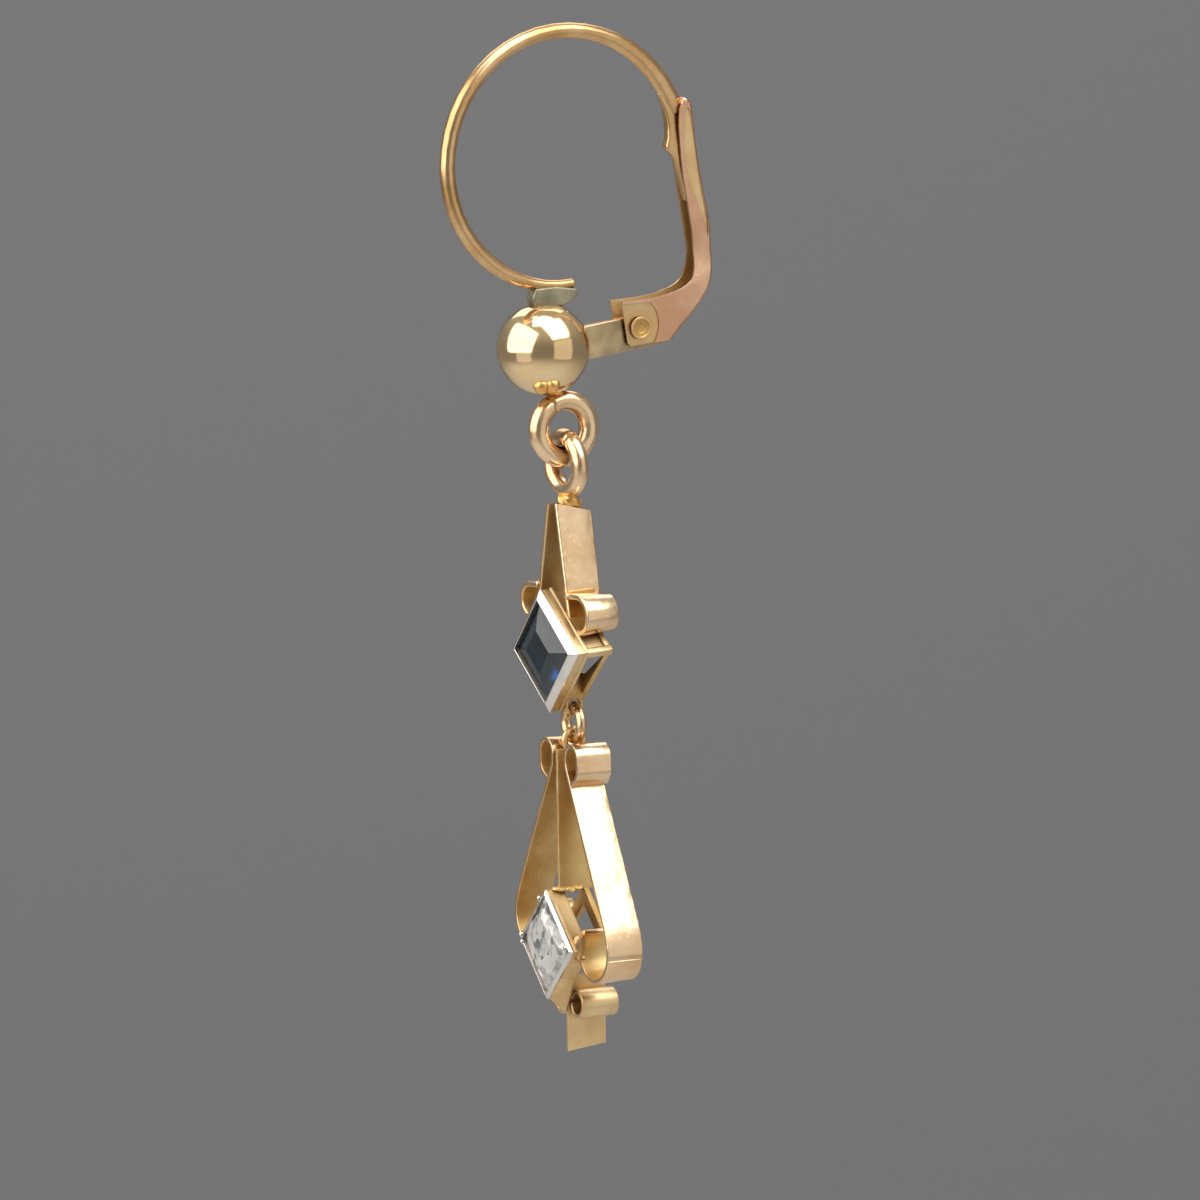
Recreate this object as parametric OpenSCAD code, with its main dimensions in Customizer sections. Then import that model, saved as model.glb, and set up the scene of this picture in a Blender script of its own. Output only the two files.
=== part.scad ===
// Gold leverback dangle earring: an ear hook with a ball, and two drops in scrolled strip, each with a square
// stone set on its point. Millimetres. +Z is up, the stones face -Y and the ear is behind, at +Y.
// The origin is the underside of the ear wire's top, where the wire hangs in the ear.

/* [Ear hook] */
// Diameter of the ear wire
wire_d = 0.8; // [0.7:0.05:0.9]
// Radius of the wire's centre line over the top
hook_top_r = 6.75; // [6.5:0.05:7]
// Radius of the wire's centre line down the front
hook_front_r = 6.15; // [6:0.05:6.3]
// Distance that the top arc's centre lies in front of the origin
hook_lead = 0.1; // [0:0.05:0.3]
// Thickness of the wire's flattened end, side to side
tongue_t = 0.6; // [0.5:0.05:0.7]
// Diameter of the ball
ball_d = 4.75; // [4:0.05:5]
// Lean of the hook's lower parts back from upright, as it hangs
hook_lean = 15.8; // [12:0.2:18]

/* [Strut and lever] */
// Thickness of the strut, side to side
strut_t = 0.8; // [0.6:0.05:0.9]
// Height of the strut
strut_h = 1.72; // [1.5:0.02:1.9]
// Outer width of the lever's channel
lever_w = 1.4; // [1.3:0.05:1.6]
// Thickness of the lever's sheet
lever_sheet = 0.22; // [0.18:0.02:0.24]
// Diameter of the hinge pin
pin_d = 0.6; // [0.5:0.05:0.7]
// Diameter of the hinge pin's heads
pin_head_d = 1; // [0.9:0.05:1.2]

/* [Rings and loops] */
// Wire diameter of the ring under the ball
ball_ring_wire = 1.06; // [0.9:0.02:1.1]
// Centre-line radius of the ring under the ball
ball_ring_r = 1.44; // [1.4:0.02:1.6]
// Wire diameter of the ring on the upper drop
drop_ring_wire = 0.9; // [0.8:0.02:0.94]
// Centre-line radius of the ring on the upper drop
drop_ring_r = 1.36; // [1.3:0.02:1.4]
// Wire diameter of the small loops on the drops
loop_wire = 0.34; // [0.3:0.02:0.36]
// Centre-line radius of the small loops on the drops
loop_r = 0.54; // [0.52:0.01:0.6]
// Wire diameter of the link between the drops
link_wire = 0.56; // [0.5:0.02:0.6]
// Centre-line radius of the link between the drops
link_r = 0.82; // [0.8:0.02:0.9]

/* [Strip] */
// Thickness of the gold strip
strip_t = 0.22; // [0.18:0.02:0.26]
// Depth of the gold strip, front to back
strip_depth = 2.2; // [2:0.05:2.4]
// Radius of the rolled edge where a scroll ends
roll_r = 0.16; // [0.13:0.01:0.18]

/* [Upper drop] */
// Outer side of the sapphire's setting
upper_box = 4.53; // [4.4:0.01:4.6]
// Depth of the sapphire's bezel
upper_bezel_depth = 0.95; // [0.9:0.05:1.1]
// Width of the white frame round the sapphire
upper_rim = 0.4; // [0.34:0.02:0.44]
// Pitch of the hanging upper drop, its bottom back
upper_pitch = 3.5; // [0:0.5:5]
// Tilt of the hanging upper drop, its bottom to the +X side
upper_tilt = 3; // [0:0.5:4]
// Turn of the hanging upper drop about its own length
upper_yaw = 3.5; // [0:0.5:4]

/* [Lower drop] */
// Outer side of the diamond's setting
lower_box = 4.02; // [3.9:0.01:4.1]
// Depth of the diamond's bezel
lower_bezel_depth = 1; // [0.95:0.05:1.1]
// Width of the white frame round the diamond
lower_rim = 0.3; // [0.28:0.02:0.34]
// Radius of the pear's round foot at the strip's centre line
pear_r = 1.7; // [1.6:0.02:1.8]
// Pitch of the hanging lower drop, its bottom back
lower_pitch = 1; // [0:0.5:3]

/* [Hidden] */
$fn = 64;
gold = "#d9b27c";
rose_gold = "#d3a080";
gap = 0.03;
weld = 0.05;
// Where two bent lengths run on into each other, one is this much thinner on each face and reaches into the other.
step = 0.005;
reach = 0.04;

// Points of the hook in its middle plane are [y, z].
top_centre = [-hook_lead, wire_d / 2 - hook_top_r];
front_centre = [top_centre.x - hook_top_r + hook_front_r, top_centre.y];
wire_back_angle = 26;
wire_end_angle = 279;
wire_end = front_centre + hook_front_r * [cos(wire_end_angle), sin(wire_end_angle)];
ball_at = [-1.43, -15.67];
ball_r = ball_d / 2;
saddle = [1.7, 0.9, 0.9];
lean_dir = [sin(hook_lean), -cos(hook_lean)];
ring_at = ball_at + (ball_r + ball_ring_r + ball_ring_wire / 2 - weld) * lean_dir;
collar_d = 1.35;
collar_h = 0.8;

// The strut runs back from the ball, nearly square to the lean, to the hinge pin.
pin_at = [3.77, -14.78];
strut_rise = 8.5;
strut_drop = 0.24;
strut_end = 1.25;
pin_bore = pin_d + 2 * gap;

// The wire's flattened end from the side: inner edge with its snap notch, tip, outer edge.
flat_inner = [[5.4, -3.2], [5.82, -3.9], [6.03, -4.6], [6.12, -5.45], [5.86, -5.68], [5.9, -5.86], [6.18, -6.0],
    [6.44, -6.9], [6.72, -7.8], [6.9, -8.5]];
flat_outer = [[7.13, -8.44], [6.95, -7.3], [6.68, -5.84], [6.56, -4.56], [6.42, -3.5], [6.02, -2.9]];

// Corners of the lever's side view: down its back, and up round the cheeks to the tip.
lever_back = [[6.42, -3.16], [6.74, -3.26], [6.84, -4.56], [6.98, -5.84], [7.4, -8.1], [7.81, -9.95], [7.97, -11.3],
    [7.95, -12.1], [7.72, -12.85], [7.29, -13.55], [6.71, -14.35], [6.13, -15.05], [5.67, -15.52]];
lever_front = [[5.3, -15.5], [4.2, -15.6], [3.3, -15.72], [3.1, -15.55], [2.72, -13.39], [3.76, -13.25],
    [4.92, -13.0], [5.6, -12.82], [6.1, -12.6], [6.5, -12.3], [6.74, -11.9], [6.83, -11.3], [6.81, -10.4],
    [6.65, -8.9], [6.24, -7.3], [6.04, -5.3], [6.02, -4.5], [6.08, -3.6]];

// The upper drop hangs by its ring's top bar, in the ring under the ball.
upper_pivot = [0, ring_at.x, ring_at.y - ball_ring_r + (ball_ring_wire + drop_ring_wire) / 2 + 0.05];
upper_turn = [upper_pitch, -upper_tilt, upper_yaw];
upper_front = -1.45;
upper_box_c = -10.71;
upper_face = -2.35;
upper_half = upper_box / sqrt(2);
upper_back = 0;
leg_top = [0.18, -3.05];
upper_curl = [2.36, -8.72];
upper_curl_r = 1.06;
upper_curl_depth = 1.95;
// The V's legs from the side.
leg_side = [[-1.06, -3.32], [0.98, -4.0], [0.47, -8.7], [-1.46, -8.7]];
keel_z = -13.25;
upper_loop = [0, -0.68, keel_z - 0.44];

// The link hangs upright in the upper drop's loop, and the lower drop in the link.
function rx(a, p) = [p.x, p.y * cos(a) - p.z * sin(a), p.y * sin(a) + p.z * cos(a)];
function ry(a, p) = [p.x * cos(a) + p.z * sin(a), p.y, p.z * cos(a) - p.x * sin(a)];
function rz(a, p) = [p.x * cos(a) - p.y * sin(a), p.x * sin(a) + p.y * cos(a), p.z];
function turned(t, p) = rz(t.z, ry(t.y, rx(t.x, p)));
bar_rise = (link_wire + loop_wire) / 2 + gap;
link_top = upper_pivot + turned(upper_turn, upper_loop) + [0, 0, bar_rise - loop_r];
link_at = link_top - [0, 0, link_r];
lower_pivot = link_top - [0, 0, 2 * link_r];

// The lower drop's outline, in its own front plane as [x, z] from its pivot.
lower_front = -0.95;
top_curl_r = 0.66;
top_curl_z = -0.82;
top_curl_drop = 0.6;
top_curl_depth = 1.95;
// Each side of the pear: angle of its leg, the leg's place level with the curl, half width at the foot, and the
// angle where the brace ends on it.
near_side = [27, 0.74, 5.07, 28];
far_side = [29.5, 0.64, 4.95, 16];
leg_level = -1.25;
inner_r = 1.36;
// Depth of the strip in the foot and its scrolls, a little less than in the legs.
foot_depth = 2.05;
inner_end = 133;
brace_c = [1.9, -10.55];
brace_r = 3;
bar_front = -1.02;
bar_top = -0.5;
lower_box_c = -10.47;
lower_face = -1.87;
bar_bottom = -7.75;
// Solder that ties the two legs to the centre bar, under the curls.
tie = [1.4, 1.1, 0.36];
tail_front = -0.65;
tail_top = -12.2;
tail_bottom = -16.1;
tube_r = 0.63;
tube_c = [strip_t + tube_r - weld + 0.05, -13.56];
tube_depth = 2.1;

// Stones: half widths of their square outlines.
sapphire_half = upper_box / 2 - upper_rim + 0.12;
diamond_half = lower_box / 2 - lower_rim + 0.1;

// Turns a drawing in the X-Y plane upright into the hook's middle plane, Y-Z.
module side_plane() { rotate([90, 0, 90]) children(); }

// Turns a drawing in the X-Y plane upright into the front plane, X-Z, between two depths.
module front_plane(y0) { translate([0, y0, 0]) mirror([0, 1, 0]) rotate([90, 0, 0]) children(); }

module side_arc(c, r, a0, a1, d) {
    side_plane() translate([c.x, c.y, 0]) rotate([0, 0, a0]) rotate_extrude(angle = a1 - a0)
        translate([r, 0]) circle(d = d, $fn = 32);
}

module side_ring(r, d) { side_plane() rotate_extrude() translate([r, 0]) circle(d = d, $fn = 32); }

module front_ring(r, d) { rotate([90, 0, 0]) rotate_extrude() translate([r, 0]) circle(d = d, $fn = 32); }

// A strip bent to radius r about c, from angle a0 to a1 in the front plane.
module strip_arc(c, r, a0, a1, y0, depth, steps = 1) {
    t = strip_t - 2 * step * steps;
    front_plane(y0) translate([c.x, c.y, 0]) rotate([0, 0, a0]) rotate_extrude(angle = a1 - a0)
        translate([r - t / 2, 0]) square([t, depth]);
}

// A straight strip from p to q in the front plane.
module strip_leg(p, q, y0, depth) {
    along = (q - p) / norm(q - p) * reach;
    n = [p.y - q.y, q.x - p.x] / norm(q - p) * strip_t / 2;
    front_plane(y0) linear_extrude(depth)
        polygon([p - along + n, q + along + n, q + along - n, p - along - n]);
}

module rolled_edge(p, y0, depth) {
    front_plane(y0) translate([p.x, p.y, -step]) cylinder(r = roll_r, h = depth + 2 * step, $fn = 24);
}

module both_sides() {
    children();
    mirror([1, 0, 0]) children();
}

module upper_place() { translate(upper_pivot) rotate(upper_turn) children(); }

module lower_place() { translate(lower_pivot) rotate([lower_pitch, 0, 0]) children(); }

// A square on its point, as a prism between two depths.
module square_prism(side, y0, y1) {
    translate([0, y0, 0]) rotate([0, 45, 0]) translate([-side / 2, 0, -side / 2]) cube([side, y1 - y0, side]);
}

// A bezel open from front to back: a lip in front, a pocket for the stone's girdle and a ledge behind it.
module bezel(side, rim, face, depth) {
    lip = 0.22;
    pocket = side - 2 * rim + 0.3;
    difference() {
        square_prism(side, face, face + depth);
        square_prism(side - 2 * rim, face - 1, face + depth + 1);
        square_prism(pocket, face + lip, face + lip + 0.34);
    }
}

module ear_hook() {
    color(gold) union() {
        side_arc(top_centre, hook_top_r, wire_back_angle, 181, wire_d - 2 * step);
        side_arc(front_centre, hook_front_r, 180, wire_end_angle, wire_d);
        flat_end();
        translate([-saddle.y / 2, ball_at.x - 0.05, ball_at.y + ball_r - 0.25])
            cube([saddle.y, saddle.x, wire_end.y - ball_at.y - ball_r + 0.25 - wire_d / 2 + weld * 2]);
        translate([0, ball_at.x, ball_at.y]) sphere(d = ball_d);
        strut();
        translate([0, ball_at.x, ball_at.y]) rotate([hook_lean, 0, 0])
            translate([0, 0, -ball_r - collar_h / 2 - 0.05]) cylinder(d = collar_d, h = collar_h);
        translate([0, ring_at.x, ring_at.y]) side_ring(ball_ring_r, ball_ring_wire);
    }
}

// The wire flattened where it runs into the lever, with a notch that the lever snaps over.
module flat_end() {
    side_plane() translate([0, 0, -tongue_t / 2]) linear_extrude(tongue_t) polygon(concat(flat_inner, flat_outer));
}

// Flat bar from the ball to the hinge pin, with the pin's bore.
module strut() {
    difference() {
        side_plane() translate([pin_at.x, pin_at.y, -strut_t / 2]) rotate([0, 0, strut_rise])
            translate([-4.4, -strut_drop - strut_h / 2, 0]) cube([4.4 + strut_end, strut_h, strut_t]);
        translate([-strut_t, pin_at.x, pin_at.y]) rotate([0, 90, 0]) cylinder(d = pin_d, h = 2 * strut_t);
    }
}

// Folded channel: its back follows the lever's outline, and it is open in front where the wire's end goes in.
module lever() {
    inner = [for (k = [1:len(lever_back) - 1]) lever_back[k] - [lever_sheet, 0.02]];
    color(rose_gold) difference() {
        side_plane() translate([0, 0, -lever_w / 2]) linear_extrude(lever_w)
            polygon(concat(lever_back, lever_front));
        side_plane() translate([0, 0, lever_sheet - lever_w / 2]) linear_extrude(lever_w - 2 * lever_sheet)
            polygon(concat([[inner[0].x, 0]], inner, [[5.4, -17], [1, -17], [1, 0]]));
        translate([-lever_w, pin_at.x, pin_at.y]) rotate([0, 90, 0]) cylinder(d = pin_bore, h = 2 * lever_w);
    }
}

module hinge_pin() {
    head_h = 0.14;
    shaft = lever_w + 2 * gap;
    color(gold) difference() {
        translate([0, pin_at.x, pin_at.y]) rotate([0, 90, 0]) union() {
            cylinder(d = pin_d - 2 * 0.01, h = shaft, center = true);
            for (s = [-1, 1]) translate([0, 0, s * (shaft + head_h) / 2])
                cylinder(d = pin_head_d, h = head_h, center = true);
        }
        for (s = [-1, 1]) translate([s * (shaft / 2 + head_h + 0.12), pin_at.x, pin_at.y])
            sphere(d = 0.5, $fn = 32);
    }
}

module upper_frame() {
    color(gold) upper_place() union() {
        translate([0, 0, -drop_ring_r]) front_ring(drop_ring_r, drop_ring_wire);
        upper_legs();
        both_sides() upper_scroll();
        translate([0, 0, upper_box_c]) {
            bezel(upper_box, upper_rim, upper_face, upper_bezel_depth);
            gallery();
        }
        translate(upper_loop) side_ring(loop_r, loop_wire);
    }
}

// The inverted V of strip: its top slopes down towards the back, where solder holds the ring.
module upper_legs() {
    intersection() {
        both_sides() strip_leg(leg_top + [0, 0.5], upper_curl - [upper_curl_r, 0], -2, 4);
        side_plane() translate([0, 0, -2]) linear_extrude(4) polygon(leg_side);
    }
    solder_h = 0.7;
    translate([0, 0, leg_top.y - solder_h]) cylinder(d = 0.8, h = solder_h);
}

// The foot of a leg, curled out, up and back to the leg.
module upper_scroll() {
    top = upper_curl + [0, upper_curl_r];
    strip_arc(upper_curl, upper_curl_r, 90, 182, upper_front, upper_curl_depth);
    strip_arc(upper_curl, upper_curl_r, 178, 452, upper_front, upper_curl_depth, 2);
    strip_leg(top, [1.15, top.y + 0.06], upper_front + 0.05, upper_curl_depth - 0.1);
}

// Behind the sapphire's bezel: upper walls, corner bars and lower rails that narrow to the loop.
module gallery() {
    wall = 0.25;
    bezel_back = upper_face + upper_bezel_depth - weld;
    corner = upper_half - wall * 0.6;
    intersection() {
        difference() {
            square_prism(upper_box - 0.1, bezel_back, upper_back);
            square_prism(upper_box - 0.1 - 2 * wall, bezel_back - 1, upper_back + 1);
        }
        translate([-5, -5, -0.15]) cube([10, 10, 5]);
    }
    for (s = [-1, 1]) translate([s * corner, bezel_back, 0]) rotate([0, 45, 0])
        translate([-wall / 2, 0, -wall / 2]) cube([wall, upper_back - bezel_back, wall]);
    front_plane(upper_back - 0.3) linear_extrude(0.3) difference() {
        polygon([[-corner - 0.15, 0], [corner + 0.15, 0], [0.12, keel_z - upper_box_c], [-0.12, keel_z - upper_box_c]]);
        polygon([[-corner + 0.3, 0.01], [corner - 0.3, 0.01], [0, keel_z - upper_box_c + 0.42]]);
    }
    translate([-0.2, bezel_back, keel_z - upper_box_c - 0.05]) cube([0.4, upper_back - bezel_back, 0.3]);
}

module sapphire() {
    color("#16323f") upper_place() translate([0, 0, upper_box_c])
        step_stone(sapphire_half, upper_face + 0.3, 0.62, 0.3, 1.0);
}

// A square step-cut stone on its point: table in front, crown, thin girdle and a pavilion in two steps.
module step_stone(half, girdle, table_ratio, crown, pavilion) {
    rows = [
        [table_ratio * half, girdle - crown], [0.86 * half, girdle - crown * 0.55], [half, girdle],
        [half, girdle + 0.1], [0.62 * half, girdle + 0.1 + pavilion * 0.6], [0.08 * half, girdle + 0.1 + pavilion]
    ];
    count = len(rows);
    points = [for (r = rows) for (k = [0:3]) let (d = r[0] * sqrt(2)) [d * sin(90 * k), r[1], d * cos(90 * k)]];
    sides = [for (i = [0:count - 2]) for (k = [0:3])
        [4 * i + k, 4 * i + (k + 1) % 4, 4 * (i + 1) + (k + 1) % 4, 4 * (i + 1) + k]];
    polyhedron(points, concat([[3, 2, 1, 0]], sides, [[for (k = [0:3]) 4 * (count - 1) + k]]));
}

module link_ring() { color(gold) translate(link_at) front_ring(link_r, link_wire); }

module lower_frame() {
    color(gold) lower_place() union() {
        translate([0, 0, bar_rise - loop_r]) side_ring(loop_r, loop_wire);
        side_of_pear(near_side);
        mirror([1, 0, 0]) side_of_pear(far_side);
        translate([-tie.x / 2, -tie.y / 2, leg_level - tie.z / 2]) cube(tie);
        strip_leg([0, bar_top], [0, bar_bottom], bar_front, lower_front + strip_depth - bar_front);
        translate([0, 0, lower_box_c]) bezel(lower_box, lower_rim, lower_face, lower_bezel_depth);
        tail();
    }
}

module side_of_pear(side) {
    ribbon(side);
    brace(side);
}

// One side of the pear: a curl at the top, a straight leg, the round foot and its inward scroll.
module ribbon(side) {
    along = [sin(side[0]), -cos(side[0])];
    out = [cos(side[0]), sin(side[0])];
    leg_end_x = side[2] - pear_r * (1 - out.x);
    leg_end = [leg_end_x, leg_level - (leg_end_x - side[1]) / tan(side[0])];
    pear_c = leg_end - pear_r * out;
    inner_c = pear_c - [0, pear_r - inner_r];
    leg_start = [side[1], leg_level];
    top_curl(leg_start, leg_start + 1.15 * along);
    strip_leg(leg_start, leg_end, lower_front, strip_depth);
    strip_arc(pear_c, pear_r, -90, side[0], lower_front, foot_depth);
    strip_arc(inner_c, inner_r, inner_end, 272, lower_front, foot_depth, 2);
    rolled_edge(inner_c + inner_r * [cos(inner_end), sin(inner_end)], lower_front, foot_depth);
}

// The strip goes on up from the leg, over, and down its outer side to end back on the leg.
module top_curl(from, to) {
    c = [from.x + top_curl_r, top_curl_z];
    down = c - [0, top_curl_drop];
    turn = -65;
    strip_leg(from, c - [top_curl_r, 0], lower_front, top_curl_depth);
    strip_arc(c, top_curl_r, -1, 181, lower_front, top_curl_depth);
    strip_leg(c + [top_curl_r, 0], down + [top_curl_r, 0], lower_front, top_curl_depth);
    strip_arc(down, top_curl_r, turn, 1, lower_front, top_curl_depth);
    strip_leg(down + top_curl_r * [cos(turn), sin(turn)], to, lower_front, top_curl_depth);
}

// An arch from the centre bar's foot to the pear's side.
module brace(side) { strip_arc(brace_c, brace_r, side[3], 130, lower_front + 0.1, foot_depth - 0.25); }

// The strip below the diamond, with a small scroll on each side.
module tail() {
    strip_leg([0, tail_top], [0, tail_bottom], tail_front, strip_depth);
    strip_leg([0, tail_top], [0, tail_top - 0.9], lower_face + lower_bezel_depth - weld, strip_depth / 2);
    both_sides() {
        strip_arc(tube_c, tube_r, -180, 160, tail_front + 0.1, tube_depth);
        rolled_edge(tube_c + tube_r * [cos(160), sin(160)], tail_front + 0.1, tube_depth);
    }
}

module diamond() {
    color("#dfe6ea") lower_place() translate([0, 0, lower_box_c])
        step_stone(diamond_half, lower_face + 0.3, 0.6, 0.32, 0.8);
}

ear_hook();
lever();
hinge_pin();
upper_frame();
sapphire();
link_ring();
lower_frame();
diamond();
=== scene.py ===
"""A gold leverback earring: an ear wire with a ball, and two drops of scrolled strip with square stones.

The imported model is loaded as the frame, and finer pieces stand for each of its nodes. Every piece is shaped in
millimetres in its sub-assembly's own frame and then placed, in metres, where the frame has it.
"""

from __future__ import annotations

import logging
import math
from collections.abc import Callable, Sequence
from dataclasses import dataclass, field
from enum import Enum

import bmesh
import bpy
from mathutils import Euler, Matrix, Vector

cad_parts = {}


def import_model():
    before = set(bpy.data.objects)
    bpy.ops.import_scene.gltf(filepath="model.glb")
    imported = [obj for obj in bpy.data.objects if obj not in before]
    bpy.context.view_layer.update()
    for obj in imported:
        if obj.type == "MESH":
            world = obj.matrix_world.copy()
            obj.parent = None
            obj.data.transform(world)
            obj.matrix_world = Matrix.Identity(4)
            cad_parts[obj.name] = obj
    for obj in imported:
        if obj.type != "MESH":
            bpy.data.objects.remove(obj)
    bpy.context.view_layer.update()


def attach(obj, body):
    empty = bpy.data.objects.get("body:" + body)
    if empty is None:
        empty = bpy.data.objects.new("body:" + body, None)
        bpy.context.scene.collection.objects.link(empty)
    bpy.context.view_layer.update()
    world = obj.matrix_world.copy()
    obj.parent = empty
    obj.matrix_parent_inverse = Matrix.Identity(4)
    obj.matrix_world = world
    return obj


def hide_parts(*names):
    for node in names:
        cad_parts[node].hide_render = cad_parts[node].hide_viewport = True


LOG = logging.getLogger("earring")
MM = 0.001
Point = tuple[float, float]
Triple = tuple[float, float, float]


class Plane(Enum):
    """The plane that an outline or a path is drawn in."""

    SIDE = "side"  # drawn as (y, z), with its width along X
    FRONT = "front"  # drawn as (x, z), with its width along Y

    def at(self, point: Point, across: float = 0.0) -> Vector:
        """Return the point in space.

        Args:
            point: The drawn point, in millimetres.
            across: How far it lies along the plane's normal axis.

        Returns:
            The point in the sub-assembly's frame.
        """
        if self is Plane.SIDE:
            return Vector((across, point[0], point[1]))
        return Vector((point[0], across, point[1]))

    @property
    def axis(self) -> Vector:
        """Return the axis about which a left turn on the drawing is a right-handed one."""
        return Vector((1, 0, 0)) if self is Plane.SIDE else Vector((0, -1, 0))

    @property
    def turn(self) -> Triple:
        """Return the turn that lays an upright primitive along the plane's normal axis."""
        return (0, math.pi / 2, 0) if self is Plane.SIDE else (math.pi / 2, 0, 0)


class Element(Enum):
    """What a selection is made of."""

    CORNER = "VERT"
    EDGE = "EDGE"
    FACE = "FACE"


class Side(Enum):
    """The side of a drop that a piece belongs to: near at +X, far at -X."""

    NEAR = 1
    FAR = -1

    @property
    def word(self) -> str:
        """Return the side as pieces are named for it."""
        return self.name.lower()


@dataclass(frozen=True)
class Run:
    """A straight length of a path."""

    length: float


@dataclass(frozen=True)
class Turn:
    """A bend of a path: its radius, and its angle in degrees, positive to the left."""

    radius: float
    angle: float


@dataclass
class Bench:
    """The maker's bench: it shapes pieces in millimetres with Blender's own tools."""

    turn_step: float = 7.5  # degrees for each step of a bend
    wire_sides: int = 28  # flats round a wire
    ring_steps: int = 120  # steps round a ring
    ring_oval: float = 0.008  # share of its radius that a ring is out of round
    wire_uneven: float = 0.025  # share of its thickness that a ring's wire is uneven
    seam_depth: float = 0.1  # share of its thickness that the wire is thinner at a seam
    seam_width: float = 0.07  # half the seam, in radians
    merge_within: float = 1e-4  # corners nearer than this become one

    def clear(self) -> None:
        """Deselect everything and leave edit mode."""
        if bpy.context.object and bpy.context.object.mode != "OBJECT":
            bpy.ops.object.mode_set(mode="OBJECT")
        bpy.ops.object.select_all(action="DESELECT")

    def only(self, piece: bpy.types.Object) -> None:
        """Select one piece alone and make it active.

        Args:
            piece: The piece.
        """
        self.clear()
        piece.select_set(True)
        bpy.context.view_layer.objects.active = piece

    def edit(self, piece: bpy.types.Object, pick: Callable[[Vector], bool] | None = None,
             kind: Element = Element.FACE) -> None:
        """Enter edit mode with what the test picks selected.

        Args:
            piece: The piece to edit.
            pick: A test on an element's middle, or None for everything.
            kind: What is selected. A test picks edges or faces.
        """
        self.only(piece)
        bpy.ops.object.mode_set(mode="EDIT")
        bpy.ops.mesh.select_mode(type=kind.value)
        bpy.ops.mesh.select_all(action="DESELECT" if pick else "SELECT")
        if pick:
            mesh = bmesh.from_edit_mesh(piece.data)
            for element in mesh.edges if kind is Element.EDGE else mesh.faces:
                if pick(sum((v.co for v in element.verts), Vector()) / len(element.verts)):
                    element.select_set(True)
            bmesh.update_edit_mesh(piece.data)

    def done(self, piece: bpy.types.Object) -> bpy.types.Object:
        """Close the mesh's seams, point its faces outwards and leave edit mode.

        Args:
            piece: The piece.

        Returns:
            The piece.
        """
        self.edit(piece)
        bpy.ops.mesh.remove_doubles(threshold=self.merge_within)
        bpy.ops.mesh.normals_make_consistent(inside=False)
        bpy.ops.object.mode_set(mode="OBJECT")
        return piece

    def named(self, name: str) -> bpy.types.Object:
        """Name the active object.

        Args:
            name: Its name.

        Returns:
            The object.
        """
        piece = bpy.context.object
        piece.name = piece.data.name = name
        return piece

    def bend(self, name: str, plane: Plane, start: Point, heading: float, moves: Sequence[Run | Turn],
             section: Point, across: float, edge: float = 0.035) -> bpy.types.Object:
        """Bend a length of strip or wire along a path.

        Args:
            name: The piece's name.
            plane: The plane of the path.
            start: Where the path starts.
            heading: Its first direction in degrees, 0 along the drawing's first axis.
            moves: The straight lengths and bends.
            section: Thickness and width. A wire has a width of 0 and its thickness is its diameter.
            across: The near face of the strip, or the middle of the wire, along the plane's normal axis.
            edge: Radius of the strip's edges.

        Returns:
            The closed piece.
        """
        self.clear()
        thick, width = section
        if width:
            bpy.ops.mesh.primitive_plane_add(size=1)
            piece = self.named(name)
            piece.scale = (thick, width, 1)
            bpy.ops.object.transform_apply(scale=True, location=False, rotation=False)
            self.edit(piece, kind=Element.CORNER)
            bpy.ops.mesh.bevel(offset=edge, segments=3, affect="VERTICES")
        else:
            bpy.ops.mesh.primitive_circle_add(vertices=self.wire_sides, radius=thick / 2, fill_type="NGON")
            piece = self.named(name)
        bpy.ops.object.mode_set(mode="OBJECT")
        turn = math.radians(heading)
        left = plane.at((-math.sin(turn), math.cos(turn)))
        ahead = plane.at((math.cos(turn), math.sin(turn)))
        origin = plane.at(start, across + width / 2)
        stand = Matrix((left, plane.at((0, 0), 1), ahead)).transposed().to_4x4()
        piece.data.transform(Matrix.Translation(origin) @ stand)
        self.edit(piece)
        at = Vector(start)
        for move in moves:
            if isinstance(move, Run):
                step = Vector((math.cos(turn), math.sin(turn))) * move.length
                bpy.ops.mesh.extrude_region_move(TRANSFORM_OT_translate={"value": plane.at(step)})
                at = at + step
                continue
            side = math.copysign(1, move.angle)
            centre = at + Vector((-math.sin(turn), math.cos(turn))) * move.radius * side
            angle = math.radians(move.angle)
            bpy.ops.mesh.spin(steps=max(2, round(abs(move.angle) / self.turn_step)), angle=-angle,
                              center=plane.at(centre), axis=plane.axis, use_auto_merge=False)
            turn += angle
            at = centre - Vector((-math.sin(turn), math.cos(turn))) * move.radius * side
        bpy.ops.object.mode_set(mode="OBJECT")
        return self.done(piece)

    def plate(self, name: str, plane: Plane, outline: Sequence[Point], near: float, far: float) -> bpy.types.Object:
        """Cut a plate to an outline and give it its thickness.

        Args:
            name: The piece's name.
            plane: The plane of the outline.
            outline: The corners in order.
            near: One face's place along the plane's normal axis.
            far: The other face's place.

        Returns:
            The closed plate.
        """
        self.clear()
        bpy.ops.mesh.primitive_circle_add(vertices=len(outline), radius=1, fill_type="NGON")
        piece = self.named(name)
        for vertex, corner in zip(piece.data.vertices, outline):
            vertex.co = plane.at(corner, near)
        self.edit(piece)
        bpy.ops.mesh.extrude_region_move(TRANSFORM_OT_translate={"value": plane.at((0, 0), far - near)})
        bpy.ops.object.mode_set(mode="OBJECT")
        return self.done(piece)

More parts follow.
